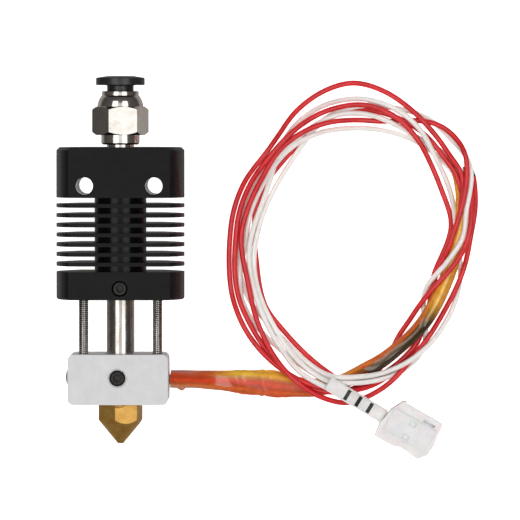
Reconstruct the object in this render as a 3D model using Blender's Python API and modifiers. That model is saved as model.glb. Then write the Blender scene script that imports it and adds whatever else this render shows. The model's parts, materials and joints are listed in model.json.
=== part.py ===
"""Hotend assembly of a 3D printer, lying on its back with its leads coiled beside it.

The filament runs along Y: the push-fit end points to +Y and the nozzle to -Y. Z points out of
the heatsink's front flat, and z = 0 is the back flat that bolts to the carriage plate, with the
origin midway between the two mounting holes. Lengths named here are in millimetres.
"""
import math

import bmesh
import bpy
import numpy as np
from mathutils import Matrix, Vector

MM = 0.001
NAME = "hotend_assembly"

# Heatsink: a round bar with two flats, turned into fins
AXIS_Z = 10.0                 # height of the filament axis over the back flat
SINK_R = 13.0
SINK_FRONT = 18.0
SINK_TOP = 7.8
SINK_TOP_BLOCK = 10.2
SINK_BOTTOM_BLOCK = 5.65
SINK_BOTTOM = -23.0
SINK_CORE_R = 5.25
FIN_COUNT = 7
FIN_PITCH = 1.97
FIN_T = 0.77
FIRST_FIN = -4.0
SINK_EDGE = 0.6
MOUNT_SPACING = 14.0
MOUNT_R = 1.75
SINK_SCREW_X = 0.1
SINK_SCREW_Y = -20.7

# Push-fit coupler and what it holds
NECK_R = 2.75
THREAD_R = 3.0
COLLAR_R = 3.875
COLLAR_H = 1.95
HEX_AF = 10.0
HEX_H = 5.75
HEX_TURN = 8.0
FITTING_TOP = 19.15
LINER_R = 2.0
LINER_BORE = 1.0
LINER_TOP = 18.0
LINER_BOTTOM = -38.1

HEX_FLAT_FIRST = 30.0         # a six-sided cone starts with a corner on +Z

# Heat break, spacer screws, heater block and nozzle
BREAK_R = 2.8
BREAK_THREAD_R = 2.9
BREAK_TOP = -9.0
BREAK_WAIST = -34.3
BREAK_BOTTOM = -37.9
BLOCK = (20.26, 10.15, 15.0)
BLOCK_CENTRE = (-0.43, -39.225, 7.5)
BLOCK_CORNER = 1.1
BLOCK_BORE_R = 3.1
SPACER_X = 7.5
SPACER_R = 1.0
SPACER_TOP = -18.4
SPACER_BOTTOM = -37.8
SHANK_R = 2.95
SHANK_TOP = -38.4
NOZZLE_AF = 8.0
NOZZLE_TURN = 17.7
NOZZLE_TIP_R = 0.6
NOZZLE_SLOPE = 1.22           # rise of the cone for each unit of radius
NOZZLE_OUT = 8.0
CARTRIDGE_R = 3.0
CARTRIDGE_Z = 3.55
CARTRIDGE_OUT = 0.9           # its domed end stands proud of the block
THERMISTOR_Y = -39.4
THERMISTOR_Z = 8.0
THERMISTOR_R = 0.9
GRUB_R = 1.5
BLOCK_SCREW_X = -0.51
BLOCK_SCREW_Y = -38.9
CLAMP_SCREW_X = -6.0

# Leads: the wires lie on z = 0 and on each other
WIRE_R = 0.54
TUBE_R = 0.5                  # the plain tubes are a little slimmer than the insulation
LAY_GAP = 0.16
LAY_STEP = 1.0
LAY_SLOPE = 0.4
LAY_LAYER = 1.2
OVAL_SLIMMER = 0.2             # so are the two sleeves' solids, all round
TUBE_STRIDE = 3               # samples of the route to one straight run of a tube
SLEEVE_STRIDE = 2
BUTT_GAP = 0.3
FERRULE_L = 4.0
FERRULE_R = 0.5

# Two-pin plug on the thermistor lead
PLUG_LENGTH = 9.4
PLUG_T = 5.8
PLUG_CENTRE = (58.9, -50.15)
PLUG_HEADING = -30.0
PIN_PITCH = 3.4
LABEL_SHORT = 0.85            # the label sleeve stops clear of the plug's slanted back
LABEL_END_Z = 2.9             # the label sleeve meets the plug at the middle of its height

# Outline of the plug's housing about its centre: along it from the leads' end, and across it
PLUG_OUTLINE = [
    (-5.7, -4.5), (-6.2, -1.9), (-5.5, 1.9), (-4.2, 4.5), (-3.6, 4.8), (-3, 4.4), (5.1, 4.4),
    (5.7, -0.2), (5.5, -2.5), (4.1, -4.3), (1.8, -4), (-0.2, -3.9), (-1.6, -4.4)]

# The leads' two loose turns, seen from above. Each row is the angle anticlockwise from +Y about
# the loop's centre, which grows along the wire, the distance from the centre, and the layer that
# the wire passes in; a higher layer crosses over a lower one. The first row is the film's end.
LOOP_CENTRE = (47.2, -11.6)
HEATER_TURNS_A = [
    (-56.7, 26.4, 4), (-48, 26.5, 4), (-42, 27.1, 4), (-34, 28, 6), (-24, 29.5, 7),
    (-12, 31.4, 6), (0, 32.5, 6), (12, 31.2, 6), (24, 29, 6), (34, 26.7, 6), (44, 25.4, 6),
    (60, 25.3, 5), (75, 25.2, 5), (90, 25.2, 5), (105, 26.1, 5), (117, 27.3, 4), (130, 28.5, 4),
    (144, 29.5, 4), (158, 30.2, 4), (170, 30.4, 3.5), (182, 30.2, 3.5), (192, 29, 3),
    (204, 26.7, 2), (214, 24.2, 1), (224, 21.8, 1), (235, 19.5, 1), (247, 17.9, 1),
    (259, 18.3, 1), (272, 19.7, 2), (283, 20.7, 3), (300, 21, 5), (314, 22.4, 6), (328, 24.8, 6),
    (342, 27.1, 6), (356, 28.1, 6), (370, 27.4, 5), (382, 26.3, 5), (394, 25.1, 5), (407, 24.2, 4),
    (420, 24.1, 4), (435, 24, 4), (450, 24, 4), (464, 24.9, 4), (476, 26, 3), (488, 26.9, 3),
    (500, 28.2, 3), (512, 29.8, 3), (524, 31, 2), (535, 30.8, 1), (545, 29, 0.5), (553, 26.3, 1),
    (560, 23.6, 2), (566, 21.4, 2), (574, 20.1, 5), (586, 18.8, 6), (600, 18.9, 6), (612, 20.3, 6),
    (622, 22, 6), (630, 23.2, 6), (640, 24.5, 5), (650, 25.7, 4), (658, 26.7, 3), (664, 27.5, 2)]
HEATER_TURNS_B = [
    (-55.8, 25.3, 4), (-48, 25.3, 4), (-40, 25.9, 3), (-32, 26.5, 2), (-22, 26.9, 2),
    (-10, 27.1, 2), (2, 27, 2), (12, 25.7, 1), (22, 23.8, 1), (34, 22.3, 1), (46, 21.6, 3),
    (60, 21.4, 3), (74, 20.8, 2), (90, 20.1, 1), (104, 20.2, 2), (116, 21.2, 2), (128, 22.4, 2),
    (142, 23.1, 2), (154, 24.5, 2), (165, 26.4, 2), (176, 28.6, 2), (186, 28.6, 2),
    (197, 27.1, 1.5), (209, 25.1, 1), (221, 22.6, 1), (233, 20.1, 1), (244, 18.5, 1),
    (255, 18.2, 2), (264, 19.3, 6), (274, 20.4, 7), (284, 22.3, 7), (293, 24.7, 7), (301, 27.1, 7),
    (309, 29.3, 7), (317, 29.9, 6), (324, 29.6, 3), (331, 28.3, 1), (339, 26.5, 1), (347, 25.2, 1),
    (358, 24.9, 4), (372, 24.9, 4), (386, 24.6, 4), (400, 23.9, 4), (414, 22.7, 4), (430, 22.5, 4),
    (446, 22.9, 5), (460, 22.7, 8), (473, 23.1, 8), (485, 24.7, 8), (496, 26.5, 8), (506, 28.5, 8),
    (516, 30.4, 8), (527, 32.2, 7), (538, 33.1, 6), (548, 31.4, 5), (557, 29.2, 4), (567, 26.7, 4),
    (578, 24.9, 4), (591, 23.6, 5), (606, 23.2, 5), (620, 23.5, 5), (632, 24.1, 5), (644, 25.8, 5),
    (653, 27.2, 4), (661, 28.4, 3), (666, 28.8, 2)]
THERMISTOR_TURNS_A = [
    (-56.6, 26.4, 2.5), (-48, 26, 3), (-40, 25.6, 3), (-31, 25, 3), (-20, 25.5, 4), (-8, 26.2, 4),
    (4, 26.3, 4), (14, 25.5, 3), (25, 24.4, 2.5), (38, 23.6, 3), (52, 23.3, 3), (66, 23.3, 3),
    (80, 23.2, 2), (94, 23.4, 2), (106, 24, 2), (120, 24.4, 2), (134, 24.1, 3), (147, 24.8, 3),
    (158, 26.2, 4), (169, 27.7, 5), (180, 27.5, 5), (192, 27.5, 5), (204, 27, 5), (216, 26.2, 5),
    (228, 25.2, 5), (239, 24.4, 4), (250, 23.4, 2), (261, 22.2, 2), (271, 21.4, 2), (281, 21.4, 3),
    (291, 22, 4), (303, 22.9, 4), (316, 24.2, 5), (329, 26.7, 5), (342, 28.5, 5), (356, 29.3, 5),
    (370, 28.7, 4), (382, 27.3, 3), (392, 25.5, 1), (403, 23, 0.5), (414, 21, 1), (426, 20.1, 3),
    (440, 20.4, 4), (454, 21.3, 5), (468, 22, 5), (482, 23, 5), (495, 24.5, 6), (506, 26.3, 6),
    (516, 28.4, 6), (524, 29.5, 7), (529, 29.8, 8)]
THERMISTOR_TURNS_B = [
    (-55.9, 25.1, 2), (-48, 24.7, 2), (-38, 24.5, 2), (-26, 24, 2), (-13, 23.5, 2), (0, 23.2, 2),
    (16, 23.3, 3), (32, 23.1, 3), (46, 22.4, 2), (60, 21.8, 1), (75, 21.8, 1), (89, 21.9, 1),
    (100, 23, 2), (110, 24.7, 3), (120, 25.8, 3), (132, 26.3, 2), (146, 26.6, 2), (158, 27.5, 3),
    (169, 28.7, 4), (180, 28.7, 5), (192, 28.7, 5), (203, 28.1, 5), (211, 26.9, 3),
    (217, 24.9, 1.5), (222, 22, 1), (227, 19.7, 1), (233, 18.1, 1), (240, 17.6, 1.5),
    (248, 18.2, 3.5), (256, 19.4, 5), (263, 20.5, 5), (271, 22.3, 5), (278, 23.1, 3), (286, 24, 3),
    (294, 26.1, 5), (300, 27.9, 5), (307, 29, 5), (316, 29, 5), (325, 29.5, 5), (333, 29.4, 4),
    (343, 28.6, 2), (354, 28.1, 2), (366, 26.9, 2), (377, 24.9, 2), (388, 22.2, 3), (400, 20.4, 3),
    (414, 19.4, 4), (430, 19.2, 4), (446, 19.6, 4), (460, 20.6, 4), (474, 21.6, 4), (488, 22.7, 4),
    (501, 24.2, 5), (512, 26.2, 5), (521, 27.7, 6), (527, 28.6, 7), (529.7, 28.7, 8)]
# The film sleeve round all four leads: x, y, layer, half width and half height
SLEEVE_ROUTE = [
    (10, -39.5, 1, 1.85, 4.4), (14.9, -39.7, 1, 1.9, 3.0), (20, -40, 1, 2.1, 1.7),
    (25.2, -40.3, 1, 2.6, 1.4), (30.3, -40.7, 1, 2.8, 1.3), (34.8, -41.2, 1, 2.3, 1.3),
    (39.4, -41.5, 1, 1.9, 1.4), (43.9, -40.6, 2, 1.6, 1.4), (48.2, -38.5, 3, 1.5, 1.4),
    (52.5, -36.3, 3, 1.5, 1.4), (56.2, -33.5, 3, 1.4, 1.4), (59.3, -30.7, 3, 1.4, 1.4),
    (62.2, -27.2, 3, 1.5, 1.4), (64.6, -23.1, 3, 1.5, 1.4), (66.7, -18.2, 3, 1.5, 1.4),
    (68.3, -12.8, 3, 1.5, 1.4), (69.4, -7.7, 3, 1.5, 1.4), (69.6, -2.8, 3, 1.4, 1.4),
    (69.3, 0.2, 3, 1.4, 1.4), (68.7, 2.7, 3, 1.35, 1.35)]
# The label sleeve is straight: x and y of its two ends, its layer, half width and half height
LABEL_ENDS = ((42.1, -40.2), (53.9, -47.5))
LABEL_SHAPE = (9, 1.5, 0.9)
LABEL_ROWS = 5


def reset():
    """Remove the scene's objects and make the two collections."""
    for item in list(bpy.data.objects):
        bpy.data.objects.remove(item, do_unlink=True)
    for name in (NAME, "cutters"):
        bpy.context.scene.collection.children.link(bpy.data.collections.new(name))


def material(name, colour, roughness, metallic=0.0):
    """A Principled material for one kind of surface."""
    made = bpy.data.materials.get(name) or bpy.data.materials.new(name)
    made.use_nodes = True
    shader = made.node_tree.nodes["Principled BSDF"]
    shader.inputs["Base Color"].default_value = (*colour, 1.0)
    shader.inputs["Roughness"].default_value = roughness
    shader.inputs["Metallic"].default_value = metallic
    made.diffuse_color = (*colour, 1.0)
    return made


def add_object(name, data, finish=None, cutter=False):
    """Link mesh or curve data as an object in the parts or the cutters collection."""
    item = bpy.data.objects.new(name, data)
    bpy.data.collections["cutters" if cutter else NAME].objects.link(item)
    if cutter:
        item.hide_render = True
        item.display_type = "WIRE"
    else:
        data.materials.append(finish)
    return item


def to_mesh(name, shape):
    """Turn a bmesh into mesh data, in metres, with sharp edges kept on smooth faces."""
    bmesh.ops.scale(shape, vec=(MM, MM, MM), verts=shape.verts)
    bmesh.ops.recalc_face_normals(shape, faces=shape.faces)
    mesh = bpy.data.meshes.new(name)
    shape.to_mesh(mesh)
    shape.free()
    mesh.shade_smooth()
    mesh.set_sharp_from_angle(angle=math.radians(35))
    return mesh


def turned(name, profile, sides, finish=None, cutter=False, hollow=False):
    """A turned shape about the filament axis from (radius, y) points, top to bottom outside."""
    shape = bmesh.new()
    verts = [shape.verts.new((r * MM, 0.0, y * MM)) for r, y in profile]
    for first, second in zip(verts, verts[1:]):
        shape.edges.new((first, second))
    if hollow:
        shape.edges.new((verts[-1], verts[0]))
    mesh = bpy.data.meshes.new(name)
    shape.to_mesh(mesh)
    shape.free()
    item = add_object(name, mesh, finish, cutter)
    item.rotation_euler = (-math.pi / 2, 0.0, 0.0)
    item.location = (0.0, 0.0, AXIS_Z * MM)
    screw = item.modifiers.new("turn", "SCREW")
    screw.steps = screw.render_steps = sides
    screw.use_merge_vertices = True
    screw.merge_threshold = 0.00001
    screw.use_smooth_shade = True
    return item


def along(direction):
    """Rotation that carries +Z onto a direction."""
    return Vector((0, 0, 1)).rotation_difference(Vector(direction)).to_matrix().to_4x4()


def rod(name, radius, start, end, sides=20, finish=None, cutter=False, turn=0.0):
    """A cylinder, or a prism with few sides, between two points."""
    start, end = Vector(start), Vector(end)
    shape = bmesh.new()
    place = Matrix.Translation((start + end) / 2) @ along(end - start)
    bmesh.ops.create_cone(shape, cap_ends=True, segments=sides, radius1=radius, radius2=radius,
                          depth=(end - start).length,
                          matrix=place @ Matrix.Rotation(math.radians(turn), 4, "Z"))
    return add_object(name, to_mesh(name, shape), finish, cutter)


def slab(name, size, centre, finish=None, cutter=False, turn=None):
    """A box of a size about a centre."""
    shape = bmesh.new()
    place = Matrix.Translation(centre) @ (turn or Matrix.Identity(4))
    bmesh.ops.create_cube(shape, size=1.0, matrix=place @ Matrix.Diagonal((*size, 1.0)))
    return add_object(name, to_mesh(name, shape), finish, cutter)


def plate(name, outline, place, low, high, finish=None, cutter=False):
    """An outline carried by a placement and filled from one height to another."""
    curve = bpy.data.curves.new(name + "_outline", "CURVE")
    curve.dimensions = "2D"
    curve.fill_mode = "BOTH"
    curve.extrude = (high - low) / 2 * MM
    spline = curve.splines.new("POLY")
    spline.points.add(len(outline) - 1)
    for spot, (x, y) in zip(spline.points, outline):
        spot.co = (x * MM, y * MM, 0.0, 1.0)
    spline.use_cyclic_u = True
    guide = bpy.data.objects.new(name + "_outline", curve)
    shape = bmesh.new()
    shape.from_mesh(guide.to_mesh())
    guide.to_mesh_clear()
    bpy.data.objects.remove(guide, do_unlink=True)
    bmesh.ops.remove_doubles(shape, verts=shape.verts, dist=0.00001)
    bmesh.ops.scale(shape, vec=(1 / MM, 1 / MM, 1 / MM), verts=shape.verts)
    bmesh.ops.transform(shape, verts=shape.verts,
                        matrix=Matrix.Translation((0, 0, (low + high) / 2)) @ place)
    return add_object(name, to_mesh(name, shape), finish, cutter)


def boolean(item, other, operation="DIFFERENCE"):
    """Cut, join or trim an object with another, which becomes a cutter."""
    step = item.modifiers.new(other.name, "BOOLEAN")
    step.operation = operation
    step.object = other
    step.solver = "EXACT"


def hexagon(name, across_flats, y_low, y_high, turn, finish=None, cutter=False):
    """A hexagonal prism about the filament axis, one flat facing +Z before the turn."""
    return rod(name, across_flats / math.sqrt(3), (0, y_low, AXIS_Z), (0, y_high, AXIS_Z), 6,
               finish, cutter, turn + HEX_FLAT_FIRST)


def make_heatsink(finish):
    """Turned bar with fins, two flats, its bores and its screw holes."""
    edge = SINK_EDGE
    profile = [(0.0, SINK_TOP), (SINK_R - edge, SINK_TOP), (SINK_R, SINK_TOP - edge),
               (SINK_R, SINK_TOP - SINK_TOP_BLOCK)]
    for fin in range(FIN_COUNT):
        middle = FIRST_FIN - fin * FIN_PITCH
        top, low = middle + FIN_T / 2, middle - FIN_T / 2
        above = profile[-1][1]
        profile += [(SINK_CORE_R, above), (SINK_CORE_R, top), (SINK_R, top), (SINK_R, low)]
    shelf = SINK_BOTTOM + SINK_BOTTOM_BLOCK
    profile += [(SINK_CORE_R, profile[-1][1]), (SINK_CORE_R, shelf), (SINK_R, shelf),
                (SINK_R, SINK_BOTTOM + edge / 2), (SINK_R - edge / 2, SINK_BOTTOM),
                (0.0, SINK_BOTTOM)]
    sink = turned("heatsink", profile, 56, finish)
    depth = SINK_FRONT
    trims = [slab("sink_flats", (60, 60, depth), (0, 0, depth / 2), cutter=True)]
    boolean(sink, trims[0], "INTERSECT")
    bore = [(0.0, SINK_TOP + 1), (THREAD_R + 0.2, SINK_TOP + 1), (THREAD_R + 0.2, 2.2),
            (LINER_R + 0.15, 2.2), (LINER_R + 0.15, BREAK_TOP + 0.3),
            (BREAK_R + 0.2, BREAK_TOP + 0.3), (BREAK_R + 0.2, SINK_BOTTOM - 1),
            (0.0, SINK_BOTTOM - 1)]
    boolean(sink, turned("sink_bore", bore, 24, cutter=True))
    for side in (-1, 1):
        x = side * MOUNT_SPACING / 2
        boolean(sink, rod("mount_hole_%+d" % side, MOUNT_R, (x, 0, -1), (x, 0, depth + 1), 24,
                          cutter=True))
        x = side * SPACER_X
        boolean(sink, rod("spacer_hole_%+d" % side, SPACER_R + 0.2,
                          (x, SPACER_TOP + 0.3, AXIS_Z), (x, SINK_BOTTOM - 1, AXIS_Z), 16,
                          cutter=True))
    boolean(sink, rod("sink_screw_hole", GRUB_R + 0.2, (SINK_SCREW_X, SINK_SCREW_Y, AXIS_Z + 1),
                      (SINK_SCREW_X, SINK_SCREW_Y, depth + 1), 20, cutter=True))


def make_grub(name, radius, start, end, finish):
    """A set screw with a hex socket in its outer end, which is the end point."""
    screw = rod(name, radius, start, end, 20, finish)
    start, end = Vector(start), Vector(end)
    outward = (end - start).normalized()
    socket = rod(name + "_socket", radius * 0.5, end - outward * min(1.0, (end - start).length / 2),
                 end + outward, 6, cutter=True)
    boolean(screw, socket)


def make_fitting(nickel, black, steel, rubber):
    """Push-fit coupler: plated body, sliding collet, toothed ring and seal."""
    top = FITTING_TOP
    low = SINK_TOP + 0.5
    hex_low = low + COLLAR_H
    hex_high = hex_low + HEX_H
    outline = [(0.0, top), (3.6, top), (3.72, top - 0.15), (3.72, top - 0.9), (4.25, top - 1.6),
               (4.68, hex_high), (4.68, hex_high - 1), (COLLAR_R, hex_low + 1), (COLLAR_R, low + 0.3),
               (COLLAR_R - 0.4, low), (NECK_R, low), (NECK_R, SINK_TOP), (THREAD_R, SINK_TOP - 0.4),
               (THREAD_R, 2.9), (THREAD_R - 0.4, 2.5), (0.0, 2.5)]
    body = turned("fitting_body", outline, 40, nickel)
    boolean(body, hexagon("fitting_hex", HEX_AF, hex_low, hex_high, HEX_TURN, cutter=True), "UNION")
    chamfer = [(0.0, hex_high + 4), (4.8, hex_high + 4), (4.95, hex_high), (5.95, hex_high - 0.8),
               (5.95, hex_low + 0.8), (4.95, hex_low), (4.8, 2.0), (0.0, 2.0)]
    boolean(body, turned("fitting_chamfer", chamfer, 40, cutter=True), "INTERSECT")
    cavity = [(0.0, top + 1), (2.9, top + 1), (2.9, 14.9), (3.2, 14.9), (3.2, 11.6),
              (LINER_R + 0.15, 11.6), (LINER_R + 0.15, 1.5), (0.0, 1.5)]
    boolean(body, turned("fitting_cavity", cavity, 32, cutter=True))
    flange = top + 1.2
    collet = [(3.9, flange + 1.85), (4.75, flange + 1.45), (4.95, flange + 1.3), (4.95, flange),
              (2.7, flange), (2.7, 15.5), (LINER_R + 0.2, 15.5),
              (LINER_R + 0.2, flange + 1.6), (LINER_R + 0.55, flange + 1.85)]
    turned("release_collet", collet, 40, black, hollow=True)
    turned("fitting_grip_ring", [(3.0, 14.35), (3.0, 14.0), (2.2, 14.0), (2.2, 14.35)], 24, steel,
           hollow=True)
    ring = [(2.65 + 0.45 * math.cos(a), 12.6 + 0.45 * math.sin(a))
            for a in (math.radians(-45 * k) for k in range(8))]
    turned("fitting_o_ring", ring, 24, rubber, hollow=True)


def make_filament_path(ptfe, steel, brass):
    """Liner, heat break and nozzle along the filament axis."""
    turned("heat_break", [(BREAK_R, BREAK_TOP), (BREAK_R, BREAK_WAIST),
                          (BREAK_THREAD_R, BREAK_WAIST), (BREAK_THREAD_R, BREAK_BOTTOM),
                          (LINER_R + 0.15, BREAK_BOTTOM), (LINER_R + 0.15, BREAK_TOP)], 32, steel,
           hollow=True)
    turned("ptfe_liner", [(LINER_R, LINER_TOP), (LINER_R, LINER_BOTTOM),
                          (LINER_BORE, LINER_BOTTOM), (LINER_BORE, LINER_TOP)], 20, ptfe,
           hollow=True)
    face = BLOCK_CENTRE[1] - BLOCK[1] / 2
    hex_top = face - 0.12
    tip = face - NOZZLE_OUT
    nozzle = hexagon("nozzle", NOZZLE_AF, tip - 1, hex_top, NOZZLE_TURN, brass)
    wide = 6.0
    cone = [(0.0, 0.0), (wide, 0.0), (wide, tip + (wide - NOZZLE_TIP_R) * NOZZLE_SLOPE),
            (NOZZLE_TIP_R, tip), (0.0, tip)]
    boolean(nozzle, turned("nozzle_cone", cone, 32, cutter=True), "INTERSECT")
    shank = [(0.0, SHANK_TOP), (SHANK_R, SHANK_TOP), (SHANK_R, hex_top - 0.5), (0.0, hex_top - 0.5)]
    boolean(nozzle, turned("nozzle_shank", shank, 32, cutter=True), "UNION")
    bore = [(0.0, 0.0), (LINER_BORE, 0.0), (LINER_BORE, tip + 1.6), (0.25, tip + 0.7),
            (0.25, tip - 1), (0.0, tip - 1)]
    boolean(nozzle, turned("nozzle_bore", bore, 16, cutter=True))


def make_block(finish):
    """Heater block with rounded corners, its bores and its screw holes."""
    shape = bmesh.new()
    bmesh.ops.create_cube(shape, size=1.0,
                          matrix=Matrix.Translation(BLOCK_CENTRE) @ Matrix.Diagonal((*BLOCK, 1.0)))
    upright = [e for e in shape.edges if abs(e.verts[0].co.z - e.verts[1].co.z) > 1]
    bmesh.ops.bevel(shape, geom=upright, offset=BLOCK_CORNER, segments=4, profile=0.5,
                    affect="EDGES")
    block = add_object("heater_block", to_mesh("heater_block", shape), finish)
    x, y, z = BLOCK_CENTRE
    wide, tall, deep = (side / 2 for side in BLOCK)
    boolean(block, rod("break_bore", BLOCK_BORE_R, (0, y - tall - 1, AXIS_Z),
                       (0, y + tall + 1, AXIS_Z), 24, cutter=True))
    boolean(block, rod("cartridge_bore", CARTRIDGE_R + 0.1, (x - wide - 1, y, CARTRIDGE_Z),
                       (x + wide + 1, y, CARTRIDGE_Z), 24, cutter=True))
    boolean(block, rod("thermistor_bore", THERMISTOR_R + 0.15,
                       (x + wide - 5.3, THERMISTOR_Y, THERMISTOR_Z),
                       (x + wide + 1, THERMISTOR_Y, THERMISTOR_Z), 16, cutter=True))
    for side in (-1, 1):
        boolean(block, rod("block_spacer_hole_%+d" % side, SPACER_R + 0.2,
                           (side * SPACER_X, SPACER_BOTTOM - 0.2, AXIS_Z),
                           (side * SPACER_X, y + tall + 1, AXIS_Z), 16, cutter=True))
    boolean(block, rod("block_screw_hole", GRUB_R + 0.2,
                       (BLOCK_SCREW_X, BLOCK_SCREW_Y, AXIS_Z + 1),
                       (BLOCK_SCREW_X, BLOCK_SCREW_Y, z + deep + 1), 20, cutter=True))
    boolean(block, rod("clamp_screw_hole", GRUB_R + 0.15, (CLAMP_SCREW_X, y, CARTRIDGE_Z),
                       (CLAMP_SCREW_X, y - tall - 1, CARTRIDGE_Z), 20, cutter=True))


def make_heater_parts(black, steel, glass):
    """Set screws, spacer screws, heater cartridge and thermistor bead."""
    make_grub("heatsink_set_screw", GRUB_R, (SINK_SCREW_X, SINK_SCREW_Y, AXIS_Z + BREAK_R + 0.3),
              (SINK_SCREW_X, SINK_SCREW_Y, SINK_FRONT - 0.4), black)
    x, y, z = BLOCK_CENTRE
    wide, tall, deep = (side / 2 for side in BLOCK)
    make_grub("block_set_screw", GRUB_R, (BLOCK_SCREW_X, BLOCK_SCREW_Y, AXIS_Z + SHANK_R + 0.25),
              (BLOCK_SCREW_X, BLOCK_SCREW_Y, z + deep - 0.15), black)
    make_grub("cartridge_set_screw", GRUB_R, (CLAMP_SCREW_X, y - CARTRIDGE_R - 0.3, CARTRIDGE_Z),
              (CLAMP_SCREW_X, y - tall + 0.2, CARTRIDGE_Z), black)
    for place, spot in (("left", -SPACER_X), ("right", SPACER_X)):
        rod("spacer_screw_" + place, SPACER_R, (spot, SPACER_BOTTOM, AXIS_Z),
            (spot, SPACER_TOP, AXIS_Z), 16, steel)
    left = x - wide - CARTRIDGE_OUT
    right = x + wide - 0.4
    dome = [(0.0, right - left), (1.2, right - left - 0.2), (2.2, right - left - 0.75),
            (2.75, right - left - 1.4), (CARTRIDGE_R, right - left - 2.2)]
    cartridge = turned("heater_cartridge", dome + [(CARTRIDGE_R, 0.0), (0.0, 0.0)], 28, steel)
    cartridge.rotation_euler = (0.0, -math.pi / 2, 0.0)
    cartridge.location = (right * MM, y * MM, CARTRIDGE_Z * MM)
    rod("thermistor_bead", THERMISTOR_R, (x + wide - 4.7, THERMISTOR_Y, THERMISTOR_Z),
        (x + wide - 0.7, THERMISTOR_Y, THERMISTOR_Z), 14, glass)


def around_loop(turns):
    """Rows of x, y and layer, from rows of angle, radius and layer about the loop's centre."""
    rows = []
    for angle, radius, layer in turns:
        a = math.radians(angle)
        rows.append((LOOP_CENTRE[0] - radius * math.sin(a), LOOP_CENTRE[1] + radius * math.cos(a),
                     layer))
    return rows


def label_rows():
    """Evenly spaced rows along the straight label sleeve."""
    (x, y), (end_x, end_y) = LABEL_ENDS
    shares = [k / (LABEL_ROWS - 1) for k in range(LABEL_ROWS)]
    return [(x + t * (end_x - x), y + t * (end_y - y), *LABEL_SHAPE) for t in shares]


def smooth_route(rows, step):
    """Catmull-Rom curve through the rows, sampled about every step as seen from above."""
    rows = np.array(rows, float)
    rows = np.vstack([2 * rows[0] - rows[1], rows, 2 * rows[-1] - rows[-2]])
    points = []
    for before, here, there, after in zip(rows, rows[1:], rows[2:], rows[3:]):
        count = max(1, round(math.dist(here[:2], there[:2]) / step))
        for t in (k / count for k in range(count)):
            points.append(0.5 * (2 * here + (there - before) * t
                                 + (2 * before - 5 * here + 4 * there - after) * t * t
                                 + (3 * here - before - 3 * there + after) * t ** 3))
    points.append(rows[-2])
    return np.array(points)


def contact_runs(first, second, owner):
    """Number each unbroken stretch over which two strands touch as seen from above."""
    place = {pair: k for k, pair in enumerate(zip(first.tolist(), second.tolist()))}
    label = np.full(len(first), -1)
    count = 0
    for start in range(len(first)):
        if label[start] >= 0:
            continue
        label[start] = count
        todo = [start]
        while todo:
            i, j = int(first[todo[-1]]), int(second[todo.pop()])
            for di in range(-2, 3):
                for dj in range(-2, 3):
                    near = place.get((i + di, j + dj))
                    if (near is not None and label[near] < 0 and owner[i + di] == owner[i]
                            and owner[j + dj] == owner[j]):
                        label[near] = count
                        todo.append(near)
        count += 1
    return label


def even_out(heights, same, times, share=0.5):
    """Average each height with its neighbours on the same strand."""
    for _ in range(times):
        left = np.r_[heights[0], np.where(same, heights[:-1], heights[1:])]
        right = np.r_[np.where(same, heights[1:], heights[:-1]), heights[-1]]
        heights = (1 - share) * heights + share * 0.5 * (left + right)
    return heights


def end_to_end(strands):
    """Which rows meet another strand's end face to face: wires and sleeve, wires and label."""
    starts = np.r_[0, np.cumsum([len(s) for s in strands])]
    meets = np.zeros((starts[-1], starts[-1]), bool)
    for wire in range(4):
        meets[starts[wire]:starts[wire] + 4, starts[5] - 4:starts[5]] = True
        if wire > 1:
            meets[starts[wire + 1] - 5:starts[wire + 1], starts[5]:starts[5] + 4] = True
    return meets | meets.T


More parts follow.
